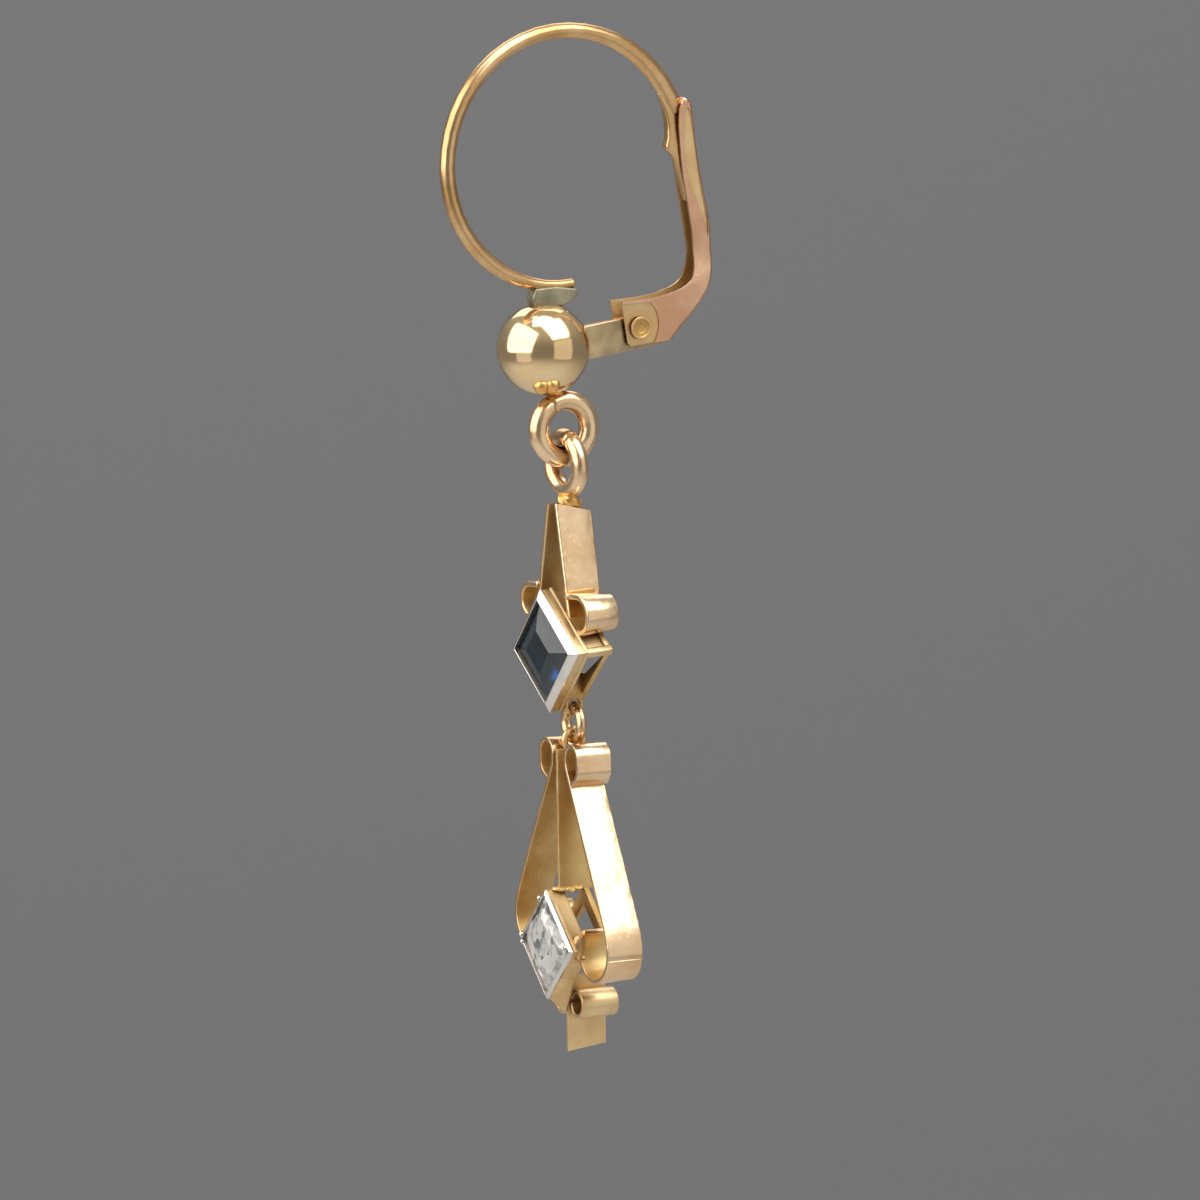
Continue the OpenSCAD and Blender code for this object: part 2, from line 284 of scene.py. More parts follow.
    def block(self, name: str, at: Triple, size: Triple, turn: Triple = (0.0, 0.0, 0.0)) -> bpy.types.Object:
        """Cut a plain block.

        Args:
            name: The piece's name.
            at: Its middle.
            size: Its sides.
            turn: How it is turned, in radians about X, Y and Z.

        Returns:
            The block.
        """
        self.clear()
        bpy.ops.mesh.primitive_cube_add(size=1, location=at, scale=size, rotation=turn)
        piece = self.named(name)
        bpy.ops.object.transform_apply(location=True, rotation=True, scale=True)
        return piece

    def pin(self, name: str, plane: Plane, at: Point, near: float, far: float, radius: float,
            sides: int = 48) -> bpy.types.Object:
        """Turn a plain round pin that lies along a plane's normal axis.

        Args:
            name: The piece's name.
            plane: The plane that it goes through.
            at: Its middle on that plane.
            near: One end's place along the normal axis.
            far: The other end's place.
            radius: Its radius.
            sides: How many flats stand for its round.

        Returns:
            The pin.
        """
        self.clear()
        bpy.ops.mesh.primitive_cylinder_add(vertices=sides, radius=radius, depth=abs(far - near),
                                            location=plane.at(at, (near + far) / 2), rotation=plane.turn)
        piece = self.named(name)
        bpy.ops.object.transform_apply(location=True, rotation=True, scale=False)
        return piece

    def rod(self, name: str, at: Point, near: float, far: float, radius: float) -> bpy.types.Object:
        """Lay a thin round rod along Y, as the rolled end of a strip.

        Args:
            name: The piece's name.
            at: Its middle, as (x, z).
            near: Its front end.
            far: Its back end.
            radius: Its radius.

        Returns:
            The rod.
        """
        return self.soften(self.pin(name, Plane.FRONT, at, near, far, radius, sides=24), radius * 0.4)

    def ring(self, name: str, plane: Plane, centre: Point, across: float, radius: float,
             wire: float, seam: float = 60.0) -> bpy.types.Object:
        """Close a ring of wire that lies in a plane, a little out of round, with a seam where its ends meet.

        Args:
            name: The piece's name.
            plane: The plane that the ring lies in.
            centre: Its centre.
            across: The centre's place along the plane's normal axis.
            radius: Radius of the wire's middle.
            wire: Diameter of the wire.
            seam: Where the ends meet, in degrees.

        Returns:
            The ring.
        """
        self.clear()
        bpy.ops.mesh.primitive_torus_add(major_segments=self.ring_steps, minor_segments=self.wire_sides,
                                         major_radius=radius, minor_radius=wire / 2)
        piece = self.named(name)

        def close(p: Vector) -> Vector:
            """Thin the wire by a hair at the seam, and press the ring a little oval.

            Args:
                p: A corner of the round ring.

            Returns:
                Where it goes.
            """
            angle = math.atan2(p.y, p.x)
            middle = Vector((math.cos(angle), math.sin(angle), 0)) * radius
            off = (angle - math.radians(seam) + math.pi) % (2 * math.pi) - math.pi
            slim = 1 - self.seam_depth * max(0.0, 1 - abs(off) / self.seam_width)
            slim += self.wire_uneven * math.sin(3 * angle + seam)
            return middle * (1 + self.ring_oval * math.cos(2 * angle + 1)) + (p - middle) * slim

        self.reshape(piece, close)
        piece.data.transform(Matrix.Translation(plane.at(centre, across)) @ Euler(plane.turn).to_matrix().to_4x4())
        return piece

    def lump(self, name: str, at: Triple, size: Triple, rough: float = 0.1) -> bpy.types.Object:
        """Melt a small uneven lump of metal.

        Args:
            name: The piece's name.
            at: Its middle.
            size: Its half sizes.
            rough: How uneven it is.

        Returns:
            The lump.
        """
        self.clear()
        bpy.ops.mesh.primitive_uv_sphere_add(segments=28, ring_count=14, radius=1)
        piece = self.named(name)

        def melt(p: Vector) -> Vector:
            """Swell and pinch the round start into a cooled drop.

            Args:
                p: A corner of the round start.

            Returns:
                Where it goes.
            """
            swell = 1 + rough * (math.sin(3.1 * p.x + 2.3 * p.z + 7 * at[0]) + 0.7 * math.sin(4.3 * p.y - 1.9 * p.z))
            return Vector((at[0] + p.x * size[0] * swell, at[1] + p.y * size[1] * swell,
                           at[2] + p.z * size[2] * swell))

        return self.reshape(piece, melt)

    def square_frame(self, name: str, centre: float, outer: float, rim: float, near: float,
                     far: float) -> bpy.types.Object:
        """Make a square frame that stands on its point.

        Args:
            name: The piece's name.
            centre: Height of its centre.
            outer: Side of the square.
            rim: Width of the frame.
            near: Its front face.
            far: Its back face.

        Returns:
            The frame.
        """
        self.clear()
        bpy.ops.mesh.primitive_circle_add(vertices=4, radius=outer / math.sqrt(2), fill_type="NGON")
        piece = self.named(name)
        self.edit(piece)
        bpy.ops.mesh.inset(thickness=rim)
        bpy.ops.mesh.delete(type="FACE")
        bpy.ops.mesh.select_all(action="SELECT")
        bpy.ops.mesh.extrude_region_move(TRANSFORM_OT_translate={"value": (0, 0, far - near)})
        bpy.ops.object.mode_set(mode="OBJECT")
        piece.data.transform(Matrix.Translation((0, near, centre)) @ Matrix.Rotation(-math.pi / 2, 4, "X"))
        return self.done(piece)

    def slope_rim(self, frame: bpy.types.Object, centre: float, face: float, middle: float, drop: float) -> None:
        """File a square frame's front down towards its outer edge.

        Args:
            frame: The frame, which stands on its point.
            centre: Height of its centre.
            face: Its front face.
            middle: Half a diagonal that lies between its inner and outer edges.
            drop: How far back the outer edge goes.
        """
        self.reshape(frame, lambda p: p + Vector((0, drop, 0)) if (
            p.y < face + 0.01 and abs(p.x) + abs(p.z - centre) > middle) else p)

    def stone(self, name: str, centre: float, rows: Sequence[Point], corner: float) -> bpy.types.Object:
        """Cut a square stone on its point, row by row, from its table back to its foot.

        Args:
            name: The piece's name.
            centre: Height of its middle.
            rows: For each row, half the side and the depth along Y.
            corner: How much the corners are trimmed, as a share of the side.

        Returns:
            The stone.
        """
        self.clear()
        bpy.ops.mesh.primitive_circle_add(vertices=4, radius=rows[0][0] * math.sqrt(2), fill_type="NGON")
        piece = self.named(name)
        self.edit(piece, kind=Element.CORNER)
        bpy.ops.mesh.bevel(offset=rows[0][0] * corner, segments=1, affect="VERTICES")
        bpy.ops.mesh.select_all(action="SELECT")
        for (half, depth), (wider, deeper) in zip(rows, rows[1:]):
            bpy.ops.mesh.extrude_region_move(TRANSFORM_OT_translate={"value": (0, 0, deeper - depth)})
            bpy.ops.transform.resize(value=(wider / half, wider / half, 1), center_override=(0, 0, 0))
        bpy.ops.object.mode_set(mode="OBJECT")
        piece.data.transform(Matrix.Translation((0, rows[0][1], centre)) @ Matrix.Rotation(-math.pi / 2, 4, "X"))
        return self.done(piece)

    def cut(self, piece: bpy.types.Object, tool: bpy.types.Object) -> None:
        """Cut one solid with another, which is used up.

        Args:
            piece: The solid that stays.
            tool: The solid that cuts.
        """
        self.only(piece)
        step = piece.modifiers.new("cut", "BOOLEAN")
        step.operation, step.object, step.solver = "DIFFERENCE", tool, "EXACT"
        bpy.ops.object.modifier_apply(modifier=step.name)
        bpy.data.objects.remove(tool)

    def cut_below(self, piece: bpy.types.Object, level: float) -> bpy.types.Object:
        """Cut away what lies below a level, and close the piece again.

        Args:
            piece: The piece.
            level: The level's height.

        Returns:
            The piece.
        """
        self.cut(piece, self.block("below", (0, 0, level - 5), (12, 12, 10)))
        return self.done(piece)

    def score(self, piece: bpy.types.Object, axis: Triple, places: Sequence[float]) -> None:
        """Score lines right across a piece, so that it can be bent there.

        Args:
            piece: The piece.
            axis: The axis that the lines lie across.
            places: Where they are along it.
        """
        self.edit(piece)
        for place in places:
            bpy.ops.mesh.select_all(action="SELECT")
            bpy.ops.mesh.bisect(plane_co=[place * share for share in axis], plane_no=axis)
        bpy.ops.object.mode_set(mode="OBJECT")

    def flip(self, piece: bpy.types.Object, side: Side) -> bpy.types.Object:
        """Turn a piece that is drawn for the near side over to the side it is for.

        Args:
            piece: The piece.
            side: The side it is for.

        Returns:
            The piece.
        """
        if side is Side.FAR:
            self.reshape(piece, lambda p: Vector((-p.x, p.y, p.z)))
            self.done(piece)
        return piece

    def join(self, pieces: Sequence[bpy.types.Object], name: str) -> bpy.types.Object:
        """Join pieces into one.

        Args:
            pieces: The pieces.
            name: The name of the one they become.

        Returns:
            The joined piece.
        """
        self.clear()
        for piece in pieces:
            piece.select_set(True)
        bpy.context.view_layer.objects.active = pieces[0]
        bpy.ops.object.join()
        return self.named(name)

    def soften(self, piece: bpy.types.Object, width: float, segments: int = 3,
               angle: float = 30) -> bpy.types.Object:
        """Round a piece's sharp edges, as polishing does.

        Args:
            piece: The piece.
            width: Width of the rounding.
            segments: Its steps.
            angle: The sharpest angle in degrees that stays as it is.

        Returns:
            The piece.
        """
        self.only(piece)
        step = piece.modifiers.new("edges", "BEVEL")
        step.width, step.segments, step.limit_method = width, segments, "ANGLE"
        step.angle_limit, step.harden_normals = math.radians(angle), False
        bpy.ops.object.modifier_apply(modifier=step.name)
        return piece

    def reshape(self, piece: bpy.types.Object, move: Callable[[Vector], Vector]) -> bpy.types.Object:
        """Move each corner of a piece by a rule.

        Args:
            piece: The piece.
            move: The rule, which turns a corner's place into its new one.

        Returns:
            The piece.
        """
        for vertex in piece.data.vertices:
            vertex.co = move(vertex.co.copy())
        piece.data.update()
        return piece

    def line(self, piece: bpy.types.Object, material: bpy.types.Material,
             inside: Callable[[Vector, Vector], bool]) -> None:
        """Give a piece's inside faces a finish of their own.

        Args:
            piece: The dressed piece.
            material: The finish of its inside.
            inside: A test on a face's middle, in millimetres, and its normal.
        """
        piece.data.materials.append(material)
        for face in piece.data.polygons:
            if inside(face.center / MM, face.normal):
                face.material_index = len(piece.data.materials) - 1

    def smooth(self, piece: bpy.types.Object, angle: float) -> None:
        """Shade a piece smooth up to an angle in degrees."""
        self.only(piece)
        bpy.ops.object.shade_smooth_by_angle(angle=math.radians(angle))

    def place(self, piece: bpy.types.Object, where: Matrix) -> None:
        """Put a piece, drawn in millimetres, in its place in metres with its object at the origin.

        Args:
            piece: The piece.
            where: Its sub-assembly's place, in millimetres.
        """
        self.only(piece)
        piece.matrix_world = Matrix.Scale(MM, 4) @ where
        bpy.ops.object.transform_apply(location=True, rotation=True, scale=True)


BENCH = Bench()


def linear(code: str) -> tuple[float, float, float, float]:
    """Turn an sRGB hex value into linear colour.

    Args:
        code: Six hex digits after a hash.

    Returns:
        Red, green, blue and an alpha of 1.
    """
    parts = [int(code[i:i + 2], 16) / 255 for i in (1, 3, 5)]
    return (*[c / 12.92 if c <= 0.04045 else ((c + 0.055) / 1.055) ** 2.4 for c in parts], 1.0)


def add_node(tree: bpy.types.NodeTree, kind: str, settings: dict | None = None,
             inputs: dict | None = None) -> bpy.types.Node:
    """Add a node with its settings and links.

    Args:
        tree: The node tree.
        kind: The node's type.
        settings: Its properties.
        inputs: Its sockets, by name or number, each with a value or the output socket that feeds it.

    Returns:
        The node.
    """
    made = tree.nodes.new(kind)
    for key, value in (settings or {}).items():
        setattr(made, key, value)
    for key, value in (inputs or {}).items():
        if isinstance(value, bpy.types.NodeSocket):
            tree.links.new(value, made.inputs[key])
        else:
            made.inputs[key].default_value = value
    return made


def empty_material(name: str) -> tuple[bpy.types.Material, bpy.types.NodeTree, bpy.types.Node]:
    """Make a material that holds only its output node.

    Args:
        name: The material's name.

    Returns:
        The material, its node tree and the output node.
    """
    material = bpy.data.materials.new(name)
    material.use_nodes = True
    tree = material.node_tree
    tree.nodes.clear()
    return material, tree, add_node(tree, "ShaderNodeOutputMaterial")


@dataclass(frozen=True)
class GoldFinish:
    """Gold alloy, rolled, drawn or melted, bent by hand and polished.

    The eye sees broad reflections that ripple where the metal was bent, a fine grain of rubbing marks, patches of a
    deeper tone, and corners that are tarnished where a cloth doesn't reach and darkened with painted shade.

    Attributes:
        name: The material's name.
        light: The alloy's colour.
        deep: The deeper tone of its patches.
        roughness: About 0.2 for a polished metal, less for a mirror and more for a rubbed one.
        patch_mm: Size of the patches.
        ripple_mm: Length of the ripples that bending leaves.
        ripple_depth: Their depth, in millimetres.
        rub_mm: Width of the rubbing marks. Real ones are about 0.01 mm wide and too fine to show, so they are
            drawn some ten times as coarse.
        rub_depth: Their depth, in millimetres.
        rub_stretch: How the marks are drawn out along each axis.
        rub_gloss: How much the marks change the shine.
        shade_and_tarnish: Colour that the corners take, tarnished and in painted shade.
        shade_and_tarnish_reach: How far the tarnished, shaded colour comes out of a corner, in millimetres.
        shade_and_tarnish_most: How much of it shows at the deepest place.
    """

    name: str
    light: str
    deep: str
    roughness: float = 0.16
    patch_mm: float = 2.2
    ripple_mm: float = 1.3
    ripple_depth: float = 0.012
    rub_mm: float = 0.09
    rub_depth: float = 0.0012
    rub_stretch: Triple = (1.0, 1.0, 0.25)
    rub_gloss: float = 0.3
    shade_and_tarnish: str = "#8f6a3c"
    shade_and_tarnish_reach: float = 3.2
    shade_and_tarnish_most: float = 0.55

    def make(self) -> bpy.types.Material:
        """Build the material.

        Returns:
            The material.
        """
        material, tree, out = empty_material(self.name)
        where = add_node(tree, "ShaderNodeTexCoord").outputs["Object"]
        drawn = add_node(tree, "ShaderNodeMapping", inputs={"Vector": where, "Scale": self.rub_stretch})
        rub = add_node(tree, "ShaderNodeTexNoise", inputs={
            "Vector": drawn.outputs["Vector"], "Scale": 1 / (self.rub_mm * MM), "Detail": 4.0, "Roughness": 0.6})
        dull = add_node(tree, "ShaderNodeMapRange", inputs={
            "Value": rub.outputs["Fac"], "From Min": 0.3, "From Max": 0.7,
            "To Min": self.roughness * (1 - 0.8 * self.rub_gloss),
            "To Max": self.roughness * (1 + 1.4 * self.rub_gloss)})
        ripple = add_node(tree, "ShaderNodeTexNoise", inputs={
            "Vector": where, "Scale": 1 / (self.ripple_mm * MM), "Detail": 1.5, "Roughness": 0.5})
        waves = add_node(tree, "ShaderNodeBump", inputs={
            "Height": ripple.outputs["Fac"], "Distance": self.ripple_depth * MM, "Strength": 1.0})
        marks = add_node(tree, "ShaderNodeBump", inputs={
            "Height": rub.outputs["Fac"], "Distance": self.rub_depth * MM, "Strength": 1.0,
            "Normal": waves.outputs["Normal"]})
        shader = add_node(tree, "ShaderNodeBsdfPrincipled", inputs={
            "Base Color": self.colour(tree, where), "Metallic": 1.0, "Roughness": dull.outputs["Result"],
            "Normal": marks.outputs["Normal"]})
        tree.links.new(shader.outputs["BSDF"], out.inputs["Surface"])
        return material

    def colour(self, tree: bpy.types.NodeTree, where: bpy.types.NodeSocket) -> bpy.types.NodeSocket:
        """Colour the alloy in patches, with its corners tarnished and darkened with painted shade.

        Args:
            tree: The material's nodes.
            where: The place on the metal.

        Returns:
            The colour.
        """
        patches = add_node(tree, "ShaderNodeTexNoise", inputs={
            "Vector": where, "Scale": 1 / (self.patch_mm * MM), "Detail": 3.0, "Roughness": 0.55})
        spread = add_node(tree, "ShaderNodeMapRange", inputs={
            "Value": patches.outputs["Fac"], "From Min": 0.35, "From Max": 0.65})
        clean = add_node(tree, "ShaderNodeMix", {"data_type": "RGBA"}, {
            0: spread.outputs["Result"], 6: linear(self.light), 7: linear(self.deep)})
        # Painted shade: where the ambient occlusion finds a corner or recess, the colour goes towards the tarnished
        # colour.
        shelter = add_node(tree, "ShaderNodeAmbientOcclusion", {"samples": 4}, {
            "Distance": self.shade_and_tarnish_reach * MM})
        painted_shade_and_tarnish = add_node(tree, "ShaderNodeMapRange", inputs={
            "Value": shelter.outputs["AO"], "From Min": 0.05, "From Max": 0.85,
            "To Min": self.shade_and_tarnish_most, "To Max": 0.0})
        return add_node(tree, "ShaderNodeMix", {"data_type": "RGBA"}, {
            0: painted_shade_and_tarnish.outputs["Result"], 6: clean.outputs[2], 7: linear(self.shade_and_tarnish)}).outputs[2]


@dataclass(frozen=True)
class StoneFinish:
    """A cut and polished gemstone.

    The eye sees a clear or deep body with faint clouds. In a bright stone the cut throws many small reflections,
    and its clouds and flat patches, light and grey, are painted in for them. In a deep one a single facet may flash.

    Attributes:
        name: The material's name.
        body: Its colour.
        index: Its index of refraction.
        cloud_and_reflection: The clouds' colour, and in a bright stone the grey of its painted reflections.
        cloud_and_reflection_mm: Size of the clouds, and in a bright stone of its painted reflections.
        clearness: How much light goes through, 1 for all.
        contrast: From which to which share of cloud the colour changes.
        facet_mm: Size of the patches of reflection, drawn coarser than the real ones so that they show, or 0.
        facet_share: How much the patches count against the clouds.
        flash: Colour of the flash, or nothing.
        flash_at: Its middle, in millimetres.
        flash_mm: Its size.
        flash_shape: Its size along each axis, as a share of that.
        flash_turn: How far it is turned about Y, in degrees.
        flash_clearness: How much light goes through it.
    """

    name: str
    body: str
    index: float
    cloud_and_reflection: str
    cloud_and_reflection_mm: float = 1.4
    clearness: float = 1.0
    contrast: Point = (0.4, 0.7)
    facet_mm: float = 0.0
    facet_share: float = 0.45
    flash: str = ""
    flash_at: Triple = (0.0, 0.0, 0.0)
    flash_mm: float = 0.35
    flash_shape: Triple = (0.62, 4.0, 1.0)
    flash_turn: float = 38.0
    flash_clearness: float = 0.25

    def make(self) -> bpy.types.Material:
        """Build the material.

        Returns:
            The material.
        """
        material, tree, out = empty_material(self.name)
        where = add_node(tree, "ShaderNodeTexCoord").outputs["Object"]
        colour = add_node(tree, "ShaderNodeMix", {"data_type": "RGBA"}, {
            0: self.cloud_and_reflection_share(tree, where), 6: linear(self.body), 7: linear(self.cloud_and_reflection)})
        clear = self.clearness
        if self.flash:
            near = self.flash_nearness(tree, where)
            colour = add_node(tree, "ShaderNodeMix", {"data_type": "RGBA"}, {
                0: near, 6: colour.outputs[2], 7: linear(self.flash)})
            clear = add_node(tree, "ShaderNodeMapRange", inputs={
                "Value": near, "To Min": self.clearness, "To Max": self.flash_clearness}).outputs["Result"]
        shader = add_node(tree, "ShaderNodeBsdfPrincipled", inputs={
            "Base Color": colour.outputs[2], "Roughness": 0.02, "IOR": self.index, "Transmission Weight": clear})
        tree.links.new(shader.outputs["BSDF"], out.inputs["Surface"])
        return material

    def cloud_and_reflection_share(self, tree: bpy.types.NodeTree, where: bpy.types.NodeSocket) -> bpy.types.NodeSocket:
        """Draw how cloudy the stone is at each place; in a bright stone the clouds and patches are painted
        reflections.

        Args:
            tree: The material's nodes.
            where: The place in the stone.

        Returns:
            The share of clouds and painted reflections.
        """
        amount = add_node(tree, "ShaderNodeTexNoise", inputs={
            "Vector": where, "Scale": 1 / (self.cloud_and_reflection_mm * MM), "Detail": 4.0, "Distortion": 0.6}).outputs["Fac"]
        if self.facet_mm:
            veil = add_node(tree, "ShaderNodeMath", {"operation": "MULTIPLY"}, {0: amount, 1: 1 - self.facet_share})
            cells = add_node(tree, "ShaderNodeTexVoronoi", {"distance": "MANHATTAN"}, {
                "Vector": where, "Scale": 1 / (self.facet_mm * MM)})
            amount = add_node(tree, "ShaderNodeMath", {"operation": "MULTIPLY_ADD"}, {
                0: cells.outputs["Color"], 1: self.facet_share, 2: veil.outputs[0]}).outputs[0]
        return add_node(tree, "ShaderNodeMapRange", inputs={
            "Value": amount, "From Min": self.contrast[0], "From Max": self.contrast[1]}).outputs["Result"]

    def flash_nearness(self, tree: bpy.types.NodeTree, where: bpy.types.NodeSocket) -> bpy.types.NodeSocket:
        """Draw the facet that flashes, as a strip with soft sides.

        Args:
            tree: The material's nodes.
            where: The place in the stone.

        Returns:
            How near the place is to the strip's middle, 1 at the middle.
        """
        facet = add_node(tree, "ShaderNodeMapping", {"vector_type": "TEXTURE"}, {
            "Vector": where, "Location": [c * MM for c in self.flash_at],
            "Rotation": (0, math.radians(self.flash_turn), 0),
            "Scale": [self.flash_mm * MM * c for c in self.flash_shape]})
        apart = add_node(tree, "ShaderNodeVectorMath", {"operation": "ABSOLUTE"}, {0: facet.outputs["Vector"]})
        sides = add_node(tree, "ShaderNodeSeparateXYZ", inputs={0: apart.outputs["Vector"]})
        edge = add_node(tree, "ShaderNodeMath", {"operation": "MAXIMUM"}, {
            0: sides.outputs["X"], 1: sides.outputs["Z"]})
        return add_node(tree, "ShaderNodeMapRange", inputs={
            "Value": edge.outputs[0], "From Min": 0.3, "From Max": 1.0, "To Min": 1.0, "To Max": 0.0}
        ).outputs["Result"]


@dataclass(frozen=True)
class StudioFinish:
    """Matt paper of the studio, rolled out flat.

    The eye sees an even tone with no shine. The paper's real tooth is about 0.1 mm and too fine to show, so it is
    drawn eight times as coarse.
    """

    name: str
    colour: str
    tooth_mm: float = 0.8
    tooth_depth: float = 0.02

    def make(self) -> bpy.types.Material:
        """Build the material.

        Returns:
            The material.
        """
        material, tree, out = empty_material(self.name)
        where = add_node(tree, "ShaderNodeTexCoord").outputs["Object"]
        tooth = add_node(tree, "ShaderNodeTexNoise", inputs={
            "Vector": where, "Scale": 1 / (self.tooth_mm * MM), "Detail": 3.0})
        grain = add_node(tree, "ShaderNodeBump", inputs={
            "Height": tooth.outputs["Fac"], "Distance": self.tooth_depth * MM, "Strength": 0.3})
        shader = add_node(tree, "ShaderNodeBsdfPrincipled", inputs={
            "Base Color": linear(self.colour), "Roughness": 0.9, "Normal": grain.outputs["Normal"]})
        tree.links.new(shader.outputs["BSDF"], out.inputs["Surface"])
        return material


@dataclass
class Palette:
    """The materials, made once. Each comment says what the finish gives the eye."""

    # Drawn through a plate: an even soft shine along the wire.
    wire: bpy.types.Material = field(default_factory=GoldFinish(
        "drawn_yellow_gold_wire", "#e2bf92", "#caa26c", roughness=0.24, ripple_depth=0.002, rub_mm=0.2,
        rub_depth=0.0001, rub_gloss=0.1).make)
    # Rolled and bent by hand: bright bands that wander where the strip ripples.
    strip: bpy.types.Material = field(default_factory=GoldFinish(
        "rolled_yellow_gold_strip", "#f5d9b4", "#e6c298", roughness=0.2, ripple_mm=1.0, ripple_depth=0.048).make)
    # Rubbed by wear: wide soft highlights.
    inner: bpy.types.Material = field(default_factory=GoldFinish(
        "rubbed_yellow_gold", "#ecd3a4", "#dab887", roughness=0.36, ripple_mm=1.1, ripple_depth=0.014,
        rub_depth=0.0008).make)
    # Left as rolled, where no wheel reaches: dull and deeper yellow. A shaded copy of the gold that paints shade on
    # inward faces and hidden parts, tarnished and darker still with painted shade in its corners.
    shaded_unpolished: bpy.types.Material = field(default_factory=GoldFinish(
        "shaded_unpolished_gold_inside", "#e4c692", "#cba868", roughness=0.5, ripple_mm=1.4, ripple_depth=0.01,
        rub_depth=0.0006, shade_and_tarnish="#8f6a38", shade_and_tarnish_reach=5.0, shade_and_tarnish_most=0.7).make)
    # A lighter copy of the gold that paints light inside the scrolls and on parts seen through them: warm and even,
    # lightly tarnished, with little painted shade.
    painted_light_inside: bpy.types.Material = field(default_factory=GoldFinish(
        "gold_inside_painted_light", "#ecd49c", "#dbb878", roughness=0.42, ripple_mm=1.4, ripple_depth=0.01,
        rub_depth=0.0006, shade_and_tarnish="#a07a44", shade_and_tarnish_reach=1.5, shade_and_tarnish_most=0.3).make)
    # Alloyed with more copper and polished: a pink shine.
    rose: bpy.types.Material = field(default_factory=GoldFinish(
        "polished_rose_gold", "#e8c2a6", "#d2a686", roughness=0.24, ripple_mm=0.8, ripple_depth=0.03,
        rub_gloss=0.15, rub_depth=0.0005).make)
    # Filed across, with coarse marks; its dull grey-gold tone is a painted dark reflection.
    filed_painted_reflection: bpy.types.Material = field(default_factory=GoldFinish(
        "filed_gold_painted_reflection", "#d2bf98", "#96876a", roughness=0.3, ripple_mm=0.8, ripple_depth=0.06,
        rub_stretch=(1.0, 0.2, 1.0)).make)
    # Pierced out and left satin: a quiet sheen, with corners tarnished and darkened by painted shade.
    gallery: bpy.types.Material = field(default_factory=GoldFinish(
        "satin_gallery_gold", "#dec69c", "#c0a578", roughness=0.38, ripple_mm=0.7, ripple_depth=0.02,
        shade_and_tarnish="#6e5530", shade_and_tarnish_reach=1.6, shade_and_tarnish_most=0.65).make)
    # Turned and buffed to a mirror: sharp reflections of the lights.
    ball: bpy.types.Material = field(default_factory=GoldFinish(
        "polished_gold_ball", "#f5dcb0", "#ecca98", roughness=0.11, ripple_mm=1.6, ripple_depth=0.03).make)
    # Melted and flowed: deeper yellow and smooth, with a soft shine.
    solder: bpy.types.Material = field(default_factory=GoldFinish(
        "flowed_gold_solder", "#f5c47c", "#e3ab62", roughness=0.3, ripple_mm=0.5, ripple_depth=0.008,
        shade_and_tarnish_reach=1.0).make)
    # Silver solder, gone grey: dull, with its corners tarnished and darkened by painted shade.
    grey: bpy.types.Material = field(default_factory=GoldFinish(
        "grey_silver_solder", "#b9b39c", "#8f8b78", roughness=0.4, ripple_mm=0.6, ripple_depth=0.01,
        shade_and_tarnish="#4c4840").make)
    # Plated white and polished: cool, bright and nearly flat.
    white: bpy.types.Material = field(default_factory=GoldFinish(
        "polished_white_gold", "#eceae6", "#dcdad6", roughness=0.12, ripple_depth=0.004).make)
    # Beaten thin behind the clear stone: crumpled silver glints.
    foil: bpy.types.Material = field(default_factory=GoldFinish(
        "silvered_foil", "#f2f1ef", "#b9b8b8", roughness=0.16, ripple_mm=0.5, ripple_depth=0.09,
        shade_and_tarnish="#8d8c8c").make)
    # Step cut: dark blue-green glass-like depth, with one blue flash.
    sapphire: bpy.types.Material = field(default_factory=StoneFinish(
        "teal_sapphire", "#063a58", 1.77, "#052a2e", clearness=0.85, flash="#1c6ed2",
        flash_at=(1.84, -2.2, -32.2), flash_mm=0.56).make)
    # Square cut: white, broken up into light and grey patches that are painted reflections.
    diamond: bpy.types.Material = field(default_factory=StoneFinish(
        "clear_diamond", "#ffffff", 2.4, "#82878b", cloud_and_reflection_mm=0.7, clearness=0.48, contrast=(0.46, 0.68),
        facet_mm=0.5).make)


class Slot(Enum):
    """The record's material slots."""

    YELLOW = "yellow_gold"
    ROSE = "rose_gold"
    WHITE = "white_gold"
    SAPPHIRE = "sapphire"
    DIAMOND = "diamond"


@dataclass
class SubAssembly:
    """What every sub-assembly of the earring has: its body, the nodes it stands for, and its place."""

    palette: Palette
    body: str = ""
    nodes: tuple[str, ...] = ()
    where: Matrix = field(default_factory=lambda: Matrix.Identity(4))

    def dress(self, piece: bpy.types.Object, material: bpy.types.Material, slot: Slot, angle: float = 40,
              node: str = "") -> None:
        """Place a finished piece, give it its material and let it ride on its body.

        Args:
            piece: The piece, in millimetres in the sub-assembly's frame.
            material: Its material.
            slot: The record's material slot of the piece. Not used.
            angle: Edges flatter than this are shaded smooth.
            node: The node that it stands for, if not the sub-assembly's first.
        """
        BENCH.smooth(piece, angle)
        BENCH.place(piece, self.where)
        piece.data.materials.clear()
        piece.data.materials.append(material)
        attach(piece, self.body)
        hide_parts(node or self.nodes[0])
        LOG.info("%s: %d faces", piece.name, len(piece.data.polygons))


def smooth_step(share: float) -> float:
    """Ease a share from 0 to 1."""
    share = min(1.0, max(0.0, share))
    return share * share * (3 - 2 * share)


